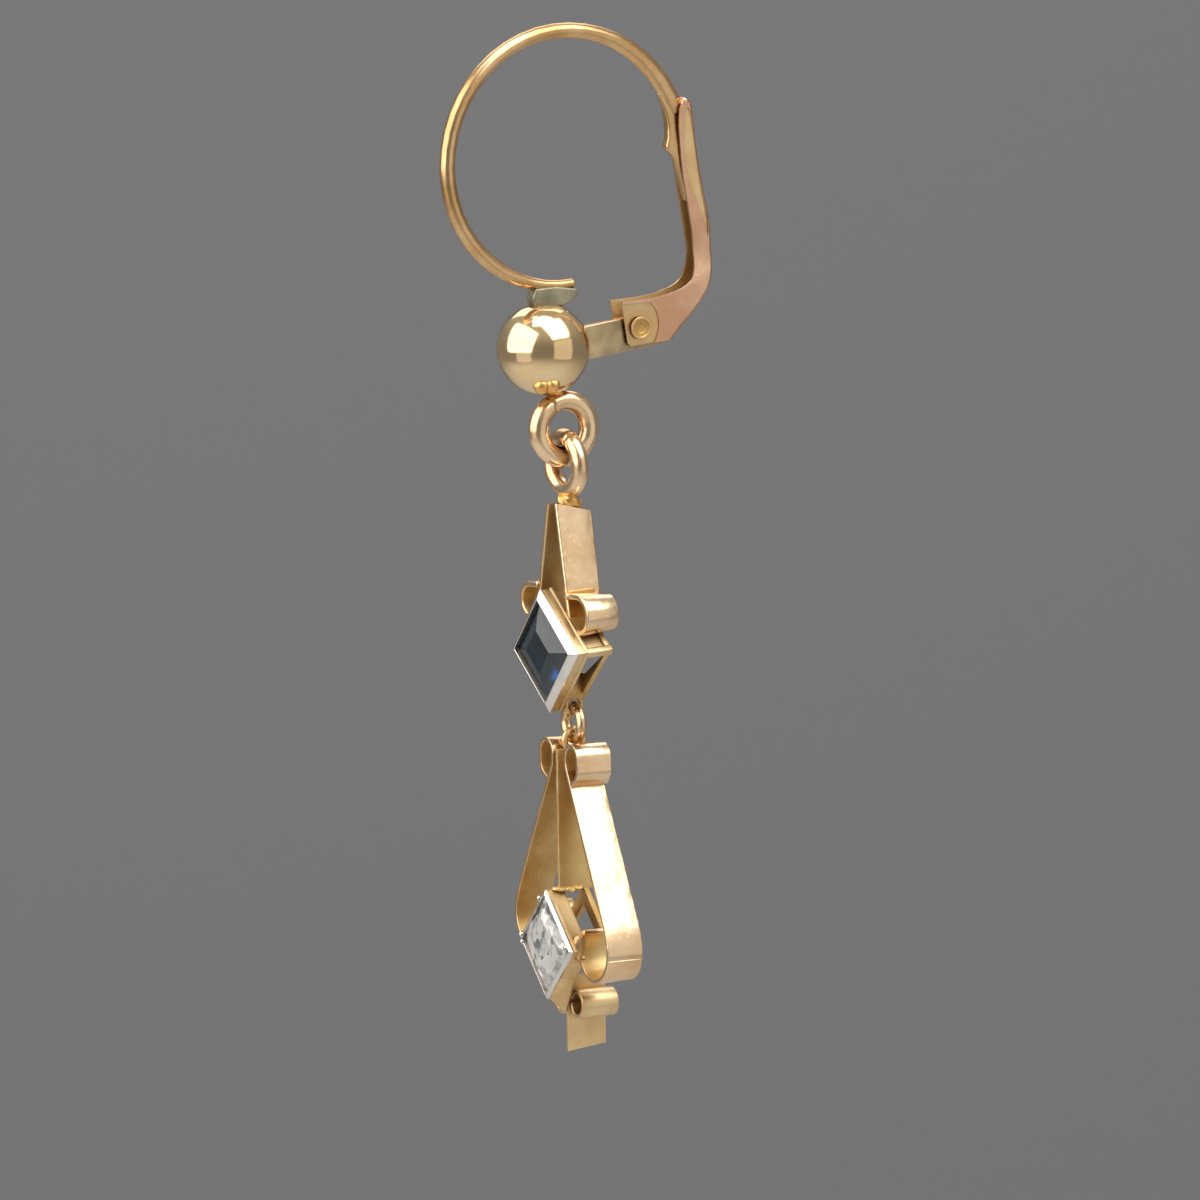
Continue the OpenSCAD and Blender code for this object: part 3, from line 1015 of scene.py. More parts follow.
def spline(points: Sequence[Point], steps: int) -> list[Point]:
    """Run a smooth curve through points.

    Args:
        points: The points in order.
        steps: How many lengths each gap is cut into.

    Returns:
        The curve's points, the given ones among them.
    """
    at = [Vector(p) for p in points]
    line: list[Point] = []
    for i in range(len(at) - 1):
        before, a, b, after = at[max(0, i - 1)], at[i], at[i + 1], at[min(len(at) - 1, i + 2)]
        for k in range(steps):
            t = k / steps
            p = 0.5 * (2 * a + (b - before) * t + (2 * before - 5 * a + 4 * b - after) * t ** 2
                       + (3 * a - before - 3 * b + after) * t ** 3)
            line.append((p.x, p.y))
    line.append((at[-1].x, at[-1].y))
    return line


def looks_in(middle: Vector, normal: Vector, scrolls: Sequence[tuple[Vector, float]]) -> bool | None:
    """Say whether a face of a strip looks in towards the middle of its scroll.

    Args:
        middle: The face's middle.
        normal: Its normal.
        scrolls: Each scroll's middle, and how far it reaches from there.

    Returns:
        Whether it does, or None where it is on no scroll.
    """
    if abs(normal.y) > 0.6:
        return False
    for hub, reach in scrolls:
        to = Vector((hub.x - middle.x, hub.z - middle.z))
        if to.length < reach:
            return normal.x * to.x + normal.z * to.y > 0
    return None


@dataclass
class EarHook(SubAssembly):
    """The ear wire, ball, strut and ring, soldered together."""

    body: str = "hook"
    nodes: tuple[str, ...] = ("ear_hook",)
    wire: float = 0.8
    top: Triple = (-0.1, -6.35, 6.75)  # middle of the arc over the top, (y, z), and its radius
    front: Triple = (-0.7, -6.35, 6.15)  # the same for the arc down the front
    back_angle: float = 21.0  # where the round wire ends at the back, in degrees
    end_angle: float = 279.0  # where its cut end is
    thin_from: float = 225.0  # where it starts to thin towards that end
    thinned: float = 0.34  # by which share
    flat_from: float = 80.0  # where it starts to flatten towards the back
    flat_over: float = 50.0  # over how many degrees
    flattened: Point = (0.22, 0.28)  # share it gains along the arc's radius and loses across
    tongue: float = 0.6  # thickness of the flattened end
    tongue_front: tuple[Point, ...] = ((5.1, -2.95), (5.36, -3.5), (5.52, -4.0), (5.62, -4.6), (5.64, -5.2),
                                       (5.56, -5.5), (5.52, -5.7), (5.66, -5.86), (5.98, -6.1), (6.2, -6.9),
                                       (6.5, -7.8), (6.72, -8.5))
    tongue_back: tuple[Point, ...] = ((7.13, -8.44), (6.95, -7.3), (6.68, -5.84), (6.56, -4.56), (6.42, -3.6),
                                      (6.02, -2.72))
    saddle: tuple[Point, ...] = ((-2.05, -12.6), (-0.9, -12.52), (0.3, -12.66), (0.42, -12.92), (0.1, -13.2),
                                 (-0.4, -13.5), (-2.0, -13.56), (-2.2, -13.1))
    saddle_half: float = 0.42
    ball_at: Point = (-1.43, -15.67)
    ball: float = 4.75  # diameter
    ball_flat: float = 0.05  # how far its top is flattened
    ball_beat: float = 0.006  # depth of the hammering
    ring_at: Point = (-0.2606, -19.8027)
    ring: Point = (1.44, 1.06)  # radius of the wire's middle, and the wire's diameter
    ring_seam: float = -150.0  # where the ring's ends meet, in degrees
    pin_at: Point = (3.77, -14.78)
    strut: Triple = (0.8, 1.72, 8.5)  # thickness, height, and rise in degrees
    strut_ends: Point = (-3.4, 1.25)  # front and back, from the hinge pin
    strut_top: float = 0.62  # top, from the hinge pin

    def build(self) -> None:
        """Make all of the hook's pieces."""
        self.make_wire()
        self.make_tongue()
        self.make_saddle()
        self.make_ball()
        self.make_solder()
        self.make_strut()
        self.make_ring()

    def make_wire(self) -> None:
        """Draw the round wire from its cut end, up the front and over to the back."""
        y, z, r = self.front
        end = math.radians(self.end_angle)
        start = (y + r * math.cos(end), z + r * math.sin(end))
        moves = [Turn(r, -(self.end_angle - 180)), Turn(self.top[2], -(180 - self.back_angle))]
        piece = BENCH.bend("ear_wire", Plane.SIDE, start, self.end_angle - 90, moves, (self.wire, 0), 0)
        BENCH.soften(piece, 0.05, angle=60)

        def draw(p: Vector) -> Vector:
            """Thin the wire towards its cut end, and hammer it flatter towards the back.

            Args:
                p: A corner of the even wire.

            Returns:
                Where it goes.
            """
            y, z, r = self.front
            angle = math.degrees(math.atan2(p.z - z, p.y - y)) % 360
            high = wide = 1.0
            if angle > self.thin_from:
                high = wide = 1 - self.thinned * smooth_step(
                    (angle - self.thin_from) / (self.end_angle - self.thin_from))
            elif angle < self.flat_from:
                y, z, r = self.top
                share = smooth_step((self.flat_from - angle) / self.flat_over)
                high, wide = 1 + self.flattened[0] * share, 1 - self.flattened[1] * share
            offset = Vector((p.y - y, p.z - z))
            offset *= (r + (offset.length - r) * high) / offset.length
            return Vector((p.x * wide, y + offset.x, z + offset.y))

        BENCH.reshape(piece, draw)
        self.dress(piece, self.palette.wire, Slot.YELLOW)

    def make_tongue(self) -> None:
        """Cut the flattened end of the wire, with the notch that the lever snaps over."""
        outline = [*self.tongue_front, *spline(self.tongue_back, 3)]
        piece = BENCH.plate("ear_wire_tongue", Plane.SIDE, outline, -self.tongue / 2, self.tongue / 2)
        BENCH.soften(piece, 0.12, segments=4)
        BENCH.reshape(piece, lambda p: Vector((p.x * (1 - 0.6 * smooth_step((p.z + 4.3) / 1.2)), p.y, p.z)))
        self.dress(piece, self.palette.wire, Slot.YELLOW)

    def make_saddle(self) -> None:
        """Shape the block of solder between the wire and the ball."""
        piece = BENCH.plate("saddle", Plane.SIDE, self.saddle, -self.saddle_half, self.saddle_half)
        BENCH.soften(piece, 0.09, segments=4)
        self.dress(piece, self.palette.grey, Slot.YELLOW)

    def make_ball(self) -> None:
        """Turn the ball."""
        middle = Vector((0, *self.ball_at))
        BENCH.clear()
        bpy.ops.mesh.primitive_uv_sphere_add(segments=96, ring_count=48, radius=self.ball / 2,
                                             location=(0, *self.ball_at))
        piece = BENCH.named("ball")
        bpy.ops.object.transform_apply(location=True, rotation=False, scale=False)

        def wear(p: Vector) -> Vector:
            """Flatten the ball a little under the wire, and leave the faint flats of its hammering.

            Args:
                p: A corner of the round ball.

            Returns:
                Where it goes.
            """
            way = (p - middle).normalized()
            flat = self.ball_flat * smooth_step((way.z - 0.86) / 0.12)
            beat = self.ball_beat * math.sin(5 * way.x + 3 * way.z) * math.sin(6 * way.y - 2 * way.z + 1)
            return middle + way * (self.ball / 2 - flat - beat - self.ball_beat)

        BENCH.reshape(piece, wear)
        self.dress(piece, self.palette.ball, Slot.YELLOW)

    def make_solder(self) -> None:
        """Flow solder round the ball's foot, where the ring is."""
        y, z = self.ball_at
        middle = Vector((0, y, z))
        lumps = []
        for i in (-0.5, 0.5):
            at = middle + Vector((1.4 + 0.2 * i, -0.52 + 0.5 * i, -1.74 + 0.04 * i))
            lumps.append(BENCH.lump(f"drop_{i}", tuple(at), (0.4, 0.4, 0.42), 0.05))
        lumps.append(BENCH.lump("drop_foot", (0, y + 0.58, z - 2.2), (0.6, 0.5, 0.24), 0.03))
        self.dress(BENCH.join(lumps, "ball_solder"), self.palette.solder, Slot.YELLOW)

    def make_strut(self) -> None:
        """File the flat bar that runs back from the ball to the hinge pin."""
        thick, high, rise = self.strut
        turn = Matrix.Rotation(math.radians(rise), 2)
        (front, back), top = self.strut_ends, self.strut_top
        corners = [(front, top), (back, top), (back, top - high), (front, top - high)]
        outline = [tuple(turn @ Vector(c) + Vector(self.pin_at)) for c in corners]
        piece = BENCH.plate("strut", Plane.SIDE, outline, -thick / 2, thick / 2)
        BENCH.soften(piece, 0.07, segments=3)
        # The strut's dull grey-gold finish is a painted dark reflection.
        self.dress(piece, self.palette.filed_painted_reflection, Slot.YELLOW)
        BENCH.line(piece, self.palette.rose, lambda middle, normal: abs(normal.z) > 0.4)

    def make_ring(self) -> None:
        """Close the ring under the ball."""
        piece = BENCH.ring("ball_ring", Plane.SIDE, self.ring_at, 0, *self.ring, seam=self.ring_seam)
        self.dress(piece, self.palette.strip, Slot.YELLOW)


@dataclass
class Lever(SubAssembly):
    """The folded lever that closes the ear wire."""

    body: str = "lever"
    nodes: tuple[str, ...] = ("lever",)
    width: float = 1.4
    waist: Point = (0.5, 0.38)  # half the width near the tip, and at the narrowest place
    draw_in: tuple[Point, Point] = ((-12.7, 2.2), (-11.2, 1.4))  # heights where the sides narrow and widen, with spans
    sheet: float = 0.15
    fold: float = 0.2  # rounding of the folds at the back
    scored: tuple[float, float, int] = (-3.6, -0.38, 26)  # first line, step to the next, and how many
    seat_depth: float = 0.08  # how deep the flutes and seats are ground
    pin_at: Point = (3.77, -14.78)
    bore: float = 0.66
    back: tuple[Point, ...] = ((6.5, -3.2), (6.85, -3.32), (7.0, -4.06), (7.1, -4.83), (7.22, -5.85), (7.4, -6.88),
                               (7.63, -7.91), (7.84, -8.94), (7.99, -9.71), (8.08, -10.48), (8.12, -11.25),
                               (8.06, -12.02), (7.86, -12.78), (7.62, -13.2), (7.2, -13.78), (6.62, -14.42),
                               (6.1, -14.95), (5.65, -15.5))
    foot: tuple[Point, ...] = ((5.3, -15.5), (4.2, -15.6), (3.3, -15.72), (3.1, -15.55))
    cheek: tuple[Point, ...] = ((2.72, -13.42), (3.76, -13.36), (4.92, -13.22), (5.7, -13.02), (6.35, -12.78),
                                (6.8, -12.42), (6.98, -11.9), (7.02, -11.2), (6.96, -10.44), (6.84, -9.67),
                                (6.7, -8.9), (6.56, -8.13), (6.42, -7.36), (6.3, -6.59), (6.2, -5.6), (6.12, -4.5),
                                (6.16, -3.7))
    flute: tuple[Point, ...] = ((6.62, -3.62), (6.4, -4.05), (6.34, -5.3), (6.5, -6.5), (6.78, -7.8), (7.2, -8.5),
                                (7.62, -9.55), (7.84, -10.4), (7.78, -9.4), (7.5, -8.1), (7.24, -6.7),
                                (6.96, -4.9), (6.8, -3.9))
    seat: tuple[Point, ...] = ((2.4, -13.56), (4.38, -13.5), (4.7, -13.9), (4.86, -14.4), (4.86, -14.9),
                               (4.7, -15.4), (4.4, -15.85), (2.4, -15.85))
    ground: Point = (-13.3, -10.3)  # the seats lie below the first height, the flutes above the second
    lip_at: Triple = (0.0, 6.52, -3.42)
    lip: Triple = (1.02, 0.46, 0.5)
    lip_tilt: float = -24.0  # degrees

    def build(self) -> None:
        """Fold the lever: outline, channel, waist, fluted sides, ground seat for the pin and its bore."""
        half = self.width / 2
        line = spline(self.back, 2)
        piece = BENCH.plate("lever_channel", Plane.SIDE, [*line, *self.foot, *spline(self.cheek, 3)], -half, half)
        folds = [Vector((a[0] + b[0], a[1] + b[1])) / 2 for a, b in zip(line, line[1:])]
        BENCH.edit(piece, lambda p: abs(p.x) > half - 0.01 and any(
            (Vector((p.y, p.z)) - fold).length < 1e-3 for fold in folds), kind=Element.EDGE)
        bpy.ops.mesh.bevel(offset=self.fold, segments=5, affect="EDGES")
        bpy.ops.object.mode_set(mode="OBJECT")
        self.hollow(piece)
        first, gap, count = self.scored
        BENCH.score(piece, (0, 0, 1), [first + gap * step for step in range(count)])
        BENCH.reshape(piece, self.pinch)
        self.grind(piece)
        BENCH.cut(piece, BENCH.pin("bore", Plane.SIDE, self.pin_at, -3 * half, 3 * half, self.bore / 2))
        BENCH.done(piece)
        BENCH.soften(piece, 0.06, segments=3, angle=35)
        self.dress(piece, self.palette.rose, Slot.ROSE, angle=35)
        self.colour_ground_faces(piece)
        self.make_lip()

    def hollow(self, piece: bpy.types.Object) -> None:
        """Hollow the lever out to a channel of sheet.

        Args:
            piece: The solid lever.
        """
        inner = [(y - self.sheet - 0.05, z + 0.02) for y, z in spline(self.back[1:], 2)]
        channel = [(inner[0][0], 0.0), *inner, (5.4, -17.0), (1.0, -17.0), (1.0, 0.0)]
        half = self.width / 2 - self.sheet
        BENCH.cut(piece, BENCH.plate("channel", Plane.SIDE, channel, -half, half))

    def pinch(self, p: Vector) -> Vector:
        """Draw the lever's sides in above its cheeks.

        Args:
            p: A corner of the straight channel.

        Returns:
            Where it goes.
        """
        low, high = (smooth_step((p.z - level) / over) for level, over in self.draw_in)
        waist = self.waist[1] + (self.waist[0] - self.waist[1]) * high
        inside = self.width / 2 + (waist - self.width / 2) * low - self.sheet
        half = self.width / 2 - self.sheet
        size = abs(p.x)
        size = inside + size - half if size > half else size * inside / half
        return Vector((math.copysign(size, p.x), p.y, p.z))

    def grind(self, piece: bpy.types.Object) -> None:
        """Grind the flutes of the upper sides and the seats round the pin.

        Args:
            piece: The folded lever.
        """
        for side in (-1, 1):
            for name, outline, face in (("flute", self.flute, self.waist[0]), ("seat", self.seat, self.width / 2)):
                BENCH.cut(piece, BENCH.plate(name, Plane.SIDE, outline, side * (face - self.seat_depth),
                                             side * (face + 0.3)))

    def colour_ground_faces(self, piece: bpy.types.Object) -> None:
        """Show the yellow alloy where the rose colour is ground away.

        Args:
            piece: The dressed lever.
        """
        flute, seat = self.waist[0] - self.seat_depth, self.width / 2 - self.seat_depth
        low, high = self.ground

        def ground(middle: Vector, normal: Vector) -> bool:
            """Say whether a face lies on a ground flat."""
            depth = flute if middle.z > high else seat
            return abs(normal.x) > 0.8 and abs(abs(middle.x) - depth) < 0.012 and not low < middle.z < high

        BENCH.line(piece, self.palette.inner, ground)
        # Painted shade: the channel's inward faces take the shaded copy of the gold.
        BENCH.line(piece, self.palette.shaded_unpolished, lambda middle, normal: abs(normal.x) > 0.8
                   and normal.x * middle.x < 0)

    def make_lip(self) -> None:
        """Roll the lever's tip over into a lip."""
        piece = BENCH.block("lever_lip", self.lip_at, self.lip, (math.radians(self.lip_tilt), 0, 0))
        BENCH.soften(piece, 0.17, segments=5)
        self.dress(piece, self.palette.rose, Slot.ROSE, angle=60)


@dataclass
class HingePin(SubAssembly):
    """The pin through the strut and the lever's cheeks."""

    body: str = "hook"
    nodes: tuple[str, ...] = ("hinge_pin",)
    at: Point = (3.77, -14.78)
    shaft: Point = (0.58, 1.46)  # diameter and length
    head: Point = (1.16, 0.14)  # diameter and height
    dimple: tuple[Point, ...] = ((0.13, 0.07), (0.2, 0.05))  # each step's inset and depth

    def build(self) -> None:
        """Turn the shaft, and head it on both sides with a punched dimple."""
        half, (wide, high) = self.shaft[1] / 2, self.head
        parts = [BENCH.pin("pin_shaft", Plane.SIDE, self.at, -half, half, self.shaft[0] / 2, sides=40)]
        for side in (-1, 1):
            head = BENCH.pin("pin_head", Plane.SIDE, self.at, side * half, side * (half + high), wide / 2)
            BENCH.edit(head, lambda p, s=side: s * p.x > half + high * 0.9)
            for inset, depth in self.dimple:
                bpy.ops.mesh.inset(thickness=inset)
                bpy.ops.mesh.extrude_region_move(TRANSFORM_OT_translate={"value": (-side * depth, 0, 0)})
            bpy.ops.object.mode_set(mode="OBJECT")
            parts.append(BENCH.soften(head, 0.025))
        piece = BENCH.join(parts, "hinge_pin_headed")
        self.dress(piece, self.palette.inner, Slot.YELLOW)
        # Painted shade: the dimple floors and the heads' inner faces take the shaded copy of the gold.
        BENCH.line(piece, self.palette.shaded_unpolished, lambda middle, normal: abs(normal.x) > 0.8
                   and abs(middle.x) < half + high - 0.05)


@dataclass(frozen=True)
class Curl:
    """The scroll at the foot of a leg of the V: its middle, its radius, and the leg's lean in degrees."""

    x: float
    z: float
    radius: float
    lean: float


@dataclass
class UpperDrop(SubAssembly):
    """The upper drop: ring, inverted V with scrolls, and the sapphire in its gallery."""

    body: str = "upper_drop"
    nodes: tuple[str, ...] = ("upper_frame", "sapphire")
    strip: Point = (0.3, 1.95)  # thickness and width
    front: float = -1.45  # the strip's front edge
    leg_top: float = -3.3
    leg_high: float = 5.4
    leg_lean: Point = (0.39, 0.56)  # how far the front and back edges lean back at the top
    top_slope: float = 0.62  # how far the top slopes down to the back
    curl_drawn: Point = (0.1, 0.04)  # how much the scroll is drawn in, and down, at its back
    fillet: Triple = (0.24, 1.5, -1.3)  # thickness, width and front of the solder beside the scroll
    ring: Point = (1.36, 0.9)  # radius of the wire's middle, and the wire's diameter
    near: Curl = Curl(2.32, -8.86, 0.92, 10.3)
    far: Curl = Curl(2.3, -8.32, 0.84, 12.5)
    box: float = 4.53  # side of the square setting
    centre: float = -10.71  # height of the setting's middle
    face: float = -2.35  # the setting's front
    rim: float = 0.4  # width of the white frame
    keel: float = -13.25  # height of the gallery's foot
    loop_at: Point = (-0.68, -13.66)
    loop: Point = (0.45, 0.26)  # radius of the wire's middle, and the wire's diameter

    def build(self) -> None:
        """Make all of the upper drop's pieces."""
        ring = BENCH.ring("drop_ring", Plane.FRONT, (0, -self.ring[0]), 0, *self.ring)
        self.dress(ring, self.palette.strip, Slot.YELLOW)
        self.make_solder()
        for side, curl in ((Side.NEAR, self.near), (Side.FAR, self.far)):
            self.make_leg(side, curl)
        self.make_setting()
        self.make_gallery()
        loop = BENCH.ring("upper_loop", Plane.SIDE, self.loop_at, 0, *self.loop)
        self.dress(loop, self.palette.inner, Slot.YELLOW)
        self.make_sapphire()

    def make_solder(self) -> None:
        """Flow the solder between the ring's foot and the V."""
        BENCH.clear()
        bpy.ops.mesh.primitive_uv_sphere_add(segments=36, ring_count=18, radius=0.62)
        piece = BENCH.named("ring_solder")
        BENCH.reshape(piece, lambda p: Vector((p.x * 0.85, p.y, p.z * 0.95)) * (
            1 + 0.1 * math.sin(4 * math.atan2(p.y, p.x) + 6 * p.z)))
        piece.data.transform(Matrix.Translation((0, -0.02, -3.32)))
        self.dress(piece, self.palette.solder, Slot.YELLOW)

    def make_leg(self, side: Side, curl: Curl) -> None:
        """Bend one leg of the V, curled at its foot.

        Args:
            side: The leg's side.
            curl: The curl at its foot.
        """
        x, z, r = curl.x, curl.z, curl.radius
        turn = math.radians(curl.lean)
        foot = Vector((x - r * math.cos(turn), z - r * math.sin(turn)))
        length = (self.leg_top - foot.y) / math.cos(turn)
        start = foot - Vector((math.sin(turn), -math.cos(turn))) * length
        leg_x = foot.x - (z + r - foot.y) * math.tan(turn)
        moves = [Run(length), Turn(r, 270 - curl.lean), Run(x - leg_x - 0.08)]
        leg = BENCH.bend(f"v_leg_{side.word}", Plane.FRONT, tuple(start), -90 + curl.lean, moves,
                         self.strip, self.front, edge=0.09)

        def slope(p: Vector) -> Vector:
            """Lean the leg's two edges, cut its top on a slope and draw the scroll in at the back.

            Args:
                p: A corner of the straight strip.

            Returns:
                Where it goes.
            """
            share = (p.y - self.front) / self.strip[1]
            if p.z < z + 0.5 * r or p.x > leg_x + 0.35:
                size = 1 - self.curl_drawn[0] * share
                return Vector((x + (p.x - x) * size, p.y, z + (p.z - z) * size - self.curl_drawn[1] * share))
            up = (p.z - z - 0.5 * r) / self.leg_high
            front = self.front + self.leg_lean[0] * up
            back = self.front + self.strip[1] + self.leg_lean[1] * up
            top = -self.top_slope * share if up > 0.85 else 0.0
            return Vector((p.x, front + share * (back - front), p.z + top))

        BENCH.reshape(leg, slope)
        fillet = BENCH.bend(f"scroll_fillet_{side.word}", Plane.FRONT, (leg_x + 0.12, z + r + 0.14), 0, [Run(0.2)],
                            self.fillet[:2], self.fillet[2], edge=0.1)
        BENCH.soften(fillet, 0.07)
        rolled = BENCH.rod(f"scroll_end_{side.word}", (leg_x + 0.2, z + r + 0.02), -1.5, -1.1, 0.17)
        for piece, material in ((leg, self.palette.strip), (fillet, self.palette.solder),
                                (rolled, self.palette.strip)):
            self.dress(BENCH.flip(piece, side), material, Slot.YELLOW)
        scroll = [(self.where @ Vector((side.value * x, 0, z)), r + 0.3)]
        # Painted shade on the leg's inward faces, and painted light on the faces inside its scroll.
        BENCH.line(leg, self.palette.shaded_unpolished, lambda middle, normal: looks_in(middle, normal, scroll) is None
                   and side.value * normal.x < 0)
        BENCH.line(leg, self.palette.painted_light_inside, lambda middle, normal: bool(looks_in(middle, normal, scroll)))

    def make_setting(self) -> None:
        """Saw the white frame round the sapphire and the gold wall behind it."""
        front = self.face - 0.06
        plate = BENCH.square_frame("sapphire_rim", self.centre, self.box, self.rim, front, front + 0.4)
        BENCH.slope_rim(plate, self.centre, front, (self.box - self.rim) / math.sqrt(2), 0.26)
        BENCH.soften(plate, 0.06)
        self.dress(plate, self.palette.white, Slot.WHITE, angle=50)
        wall = BENCH.square_frame("sapphire_wall", self.centre, self.box - 0.1, 0.2, self.face + 0.26,
                                  self.face + 0.95)
        BENCH.soften(wall, 0.04, segments=2)
        self.dress(wall, self.palette.gallery, Slot.YELLOW, angle=30)

    def make_gallery(self) -> None:
        """Build the open gallery behind the setting: upper walls, a bead and a bar at each side corner."""
        front, z = self.face + 0.9, self.centre
        tiers = [BENCH.square_frame("gallery_wall", z, self.box - 0.36, 0.24, front, -0.02),
                 BENCH.square_frame("gallery_back", z, self.box - 0.1, 0.3, -0.3, 0)]
        parts = [BENCH.soften(BENCH.cut_below(tier, z - 0.08), 0.05) for tier in tiers]
        bead = BENCH.square_frame("gallery_bead", z, self.box + 0.02, 0.26, front - 0.12, front + 0.12)
        parts.append(BENCH.soften(bead, 0.09, 4))
        corner = self.box / math.sqrt(2) - 0.2
        for side in (-1, 1):
            bar = BENCH.block("bar", (side * (corner + 0.06), front / 2 - 0.02, z - 0.02),
                              (0.46, -front + 0.08, 0.46), (0, math.pi / 4, 0))
            parts.append(BENCH.soften(bar, 0.16, 4))
        rails = self.make_rails(front, corner)
        self.dress(BENCH.join(parts, "sapphire_gallery"), self.palette.gallery, Slot.YELLOW, angle=30)
        # Painted shade: the rails and keel take the shaded copy of the gold.
        self.dress(BENCH.join(rails, "gallery_rails"), self.palette.shaded_unpolished, Slot.YELLOW, angle=30)

    def make_rails(self, front: float, corner: float) -> list[bpy.types.Object]:
        """Run the rails down from the side corners to the keel that the loop hangs from.

        Args:
            front: The gallery's front.
            corner: How far its side corners are from the middle.

        Returns:
            The rails and the keel.
        """
        z, low = self.centre, self.keel
        outline = [(-corner - 0.12, z + 0.02), (corner + 0.12, z + 0.02), (0.14, low), (-0.14, low)]
        rails = BENCH.plate("rails", Plane.FRONT, outline, -0.3, 0)
        hole = [(-corner + 0.34, z - 0.26), (corner - 0.34, z - 0.26), (0.7, low + 1.2), (-0.7, low + 1.2)]
        BENCH.cut(rails, BENCH.plate("hole", Plane.FRONT, hole, -1, 1))
        BENCH.soften(BENCH.done(rails), 0.04)
        keel = BENCH.plate("keel", Plane.SIDE, [(front, low - 0.02), (front, low + 0.7), (-0.7, low + 1.15),
                                                (0, low + 1.2), (0, low - 0.08), (-0.6, low - 0.12)], -0.28, 0.28)
        return [rails, BENCH.soften(keel, 0.05)]

    def make_sapphire(self) -> None:
        """Cut the sapphire: a table, three rows of steps, girdle and a stepped foot."""
        half, girdle = self.box / 2 - self.rim + 0.1, self.face + 0.3
        rows = [(0.4 * half, girdle - 0.52), (0.7 * half, girdle - 0.34), (half, girdle), (half, girdle + 0.08),
                (0.8 * half, girdle + 0.3), (0.5 * half, girdle + 0.62), (0.08 * half, girdle + 0.9)]
        piece = BENCH.stone("sapphire_cut", self.centre, rows, 0.02)
        self.dress(piece, self.palette.sapphire, Slot.SAPPHIRE, angle=1, node="sapphire")


@dataclass
class Link(SubAssembly):
    """The plain ring between the drops."""

    body: str = "link"
    nodes: tuple[str, ...] = ("link_ring",)
    ring: Point = (0.82, 0.56)  # radius of the wire's middle, and the wire's diameter
    at: Triple = (0.706392, -0.0600353, -34.7799)

    def build(self) -> None:
        """Close the ring."""
        piece = BENCH.ring("link", Plane.FRONT, (self.at[0], self.at[2]), self.at[1], *self.ring)
        self.dress(piece, self.palette.strip, Slot.YELLOW)
        # Painted shade: the ring's underside takes the warmer, deeper solder finish.
        BENCH.line(piece, self.palette.solder, lambda middle, normal: middle.z < self.at[2] - 0.66)


@dataclass(frozen=True)
class PearSide:
    """One side of the pear: the leg's angle, its place under the curl, and its half width at the foot."""

    lean: float
    start: float
    half: float


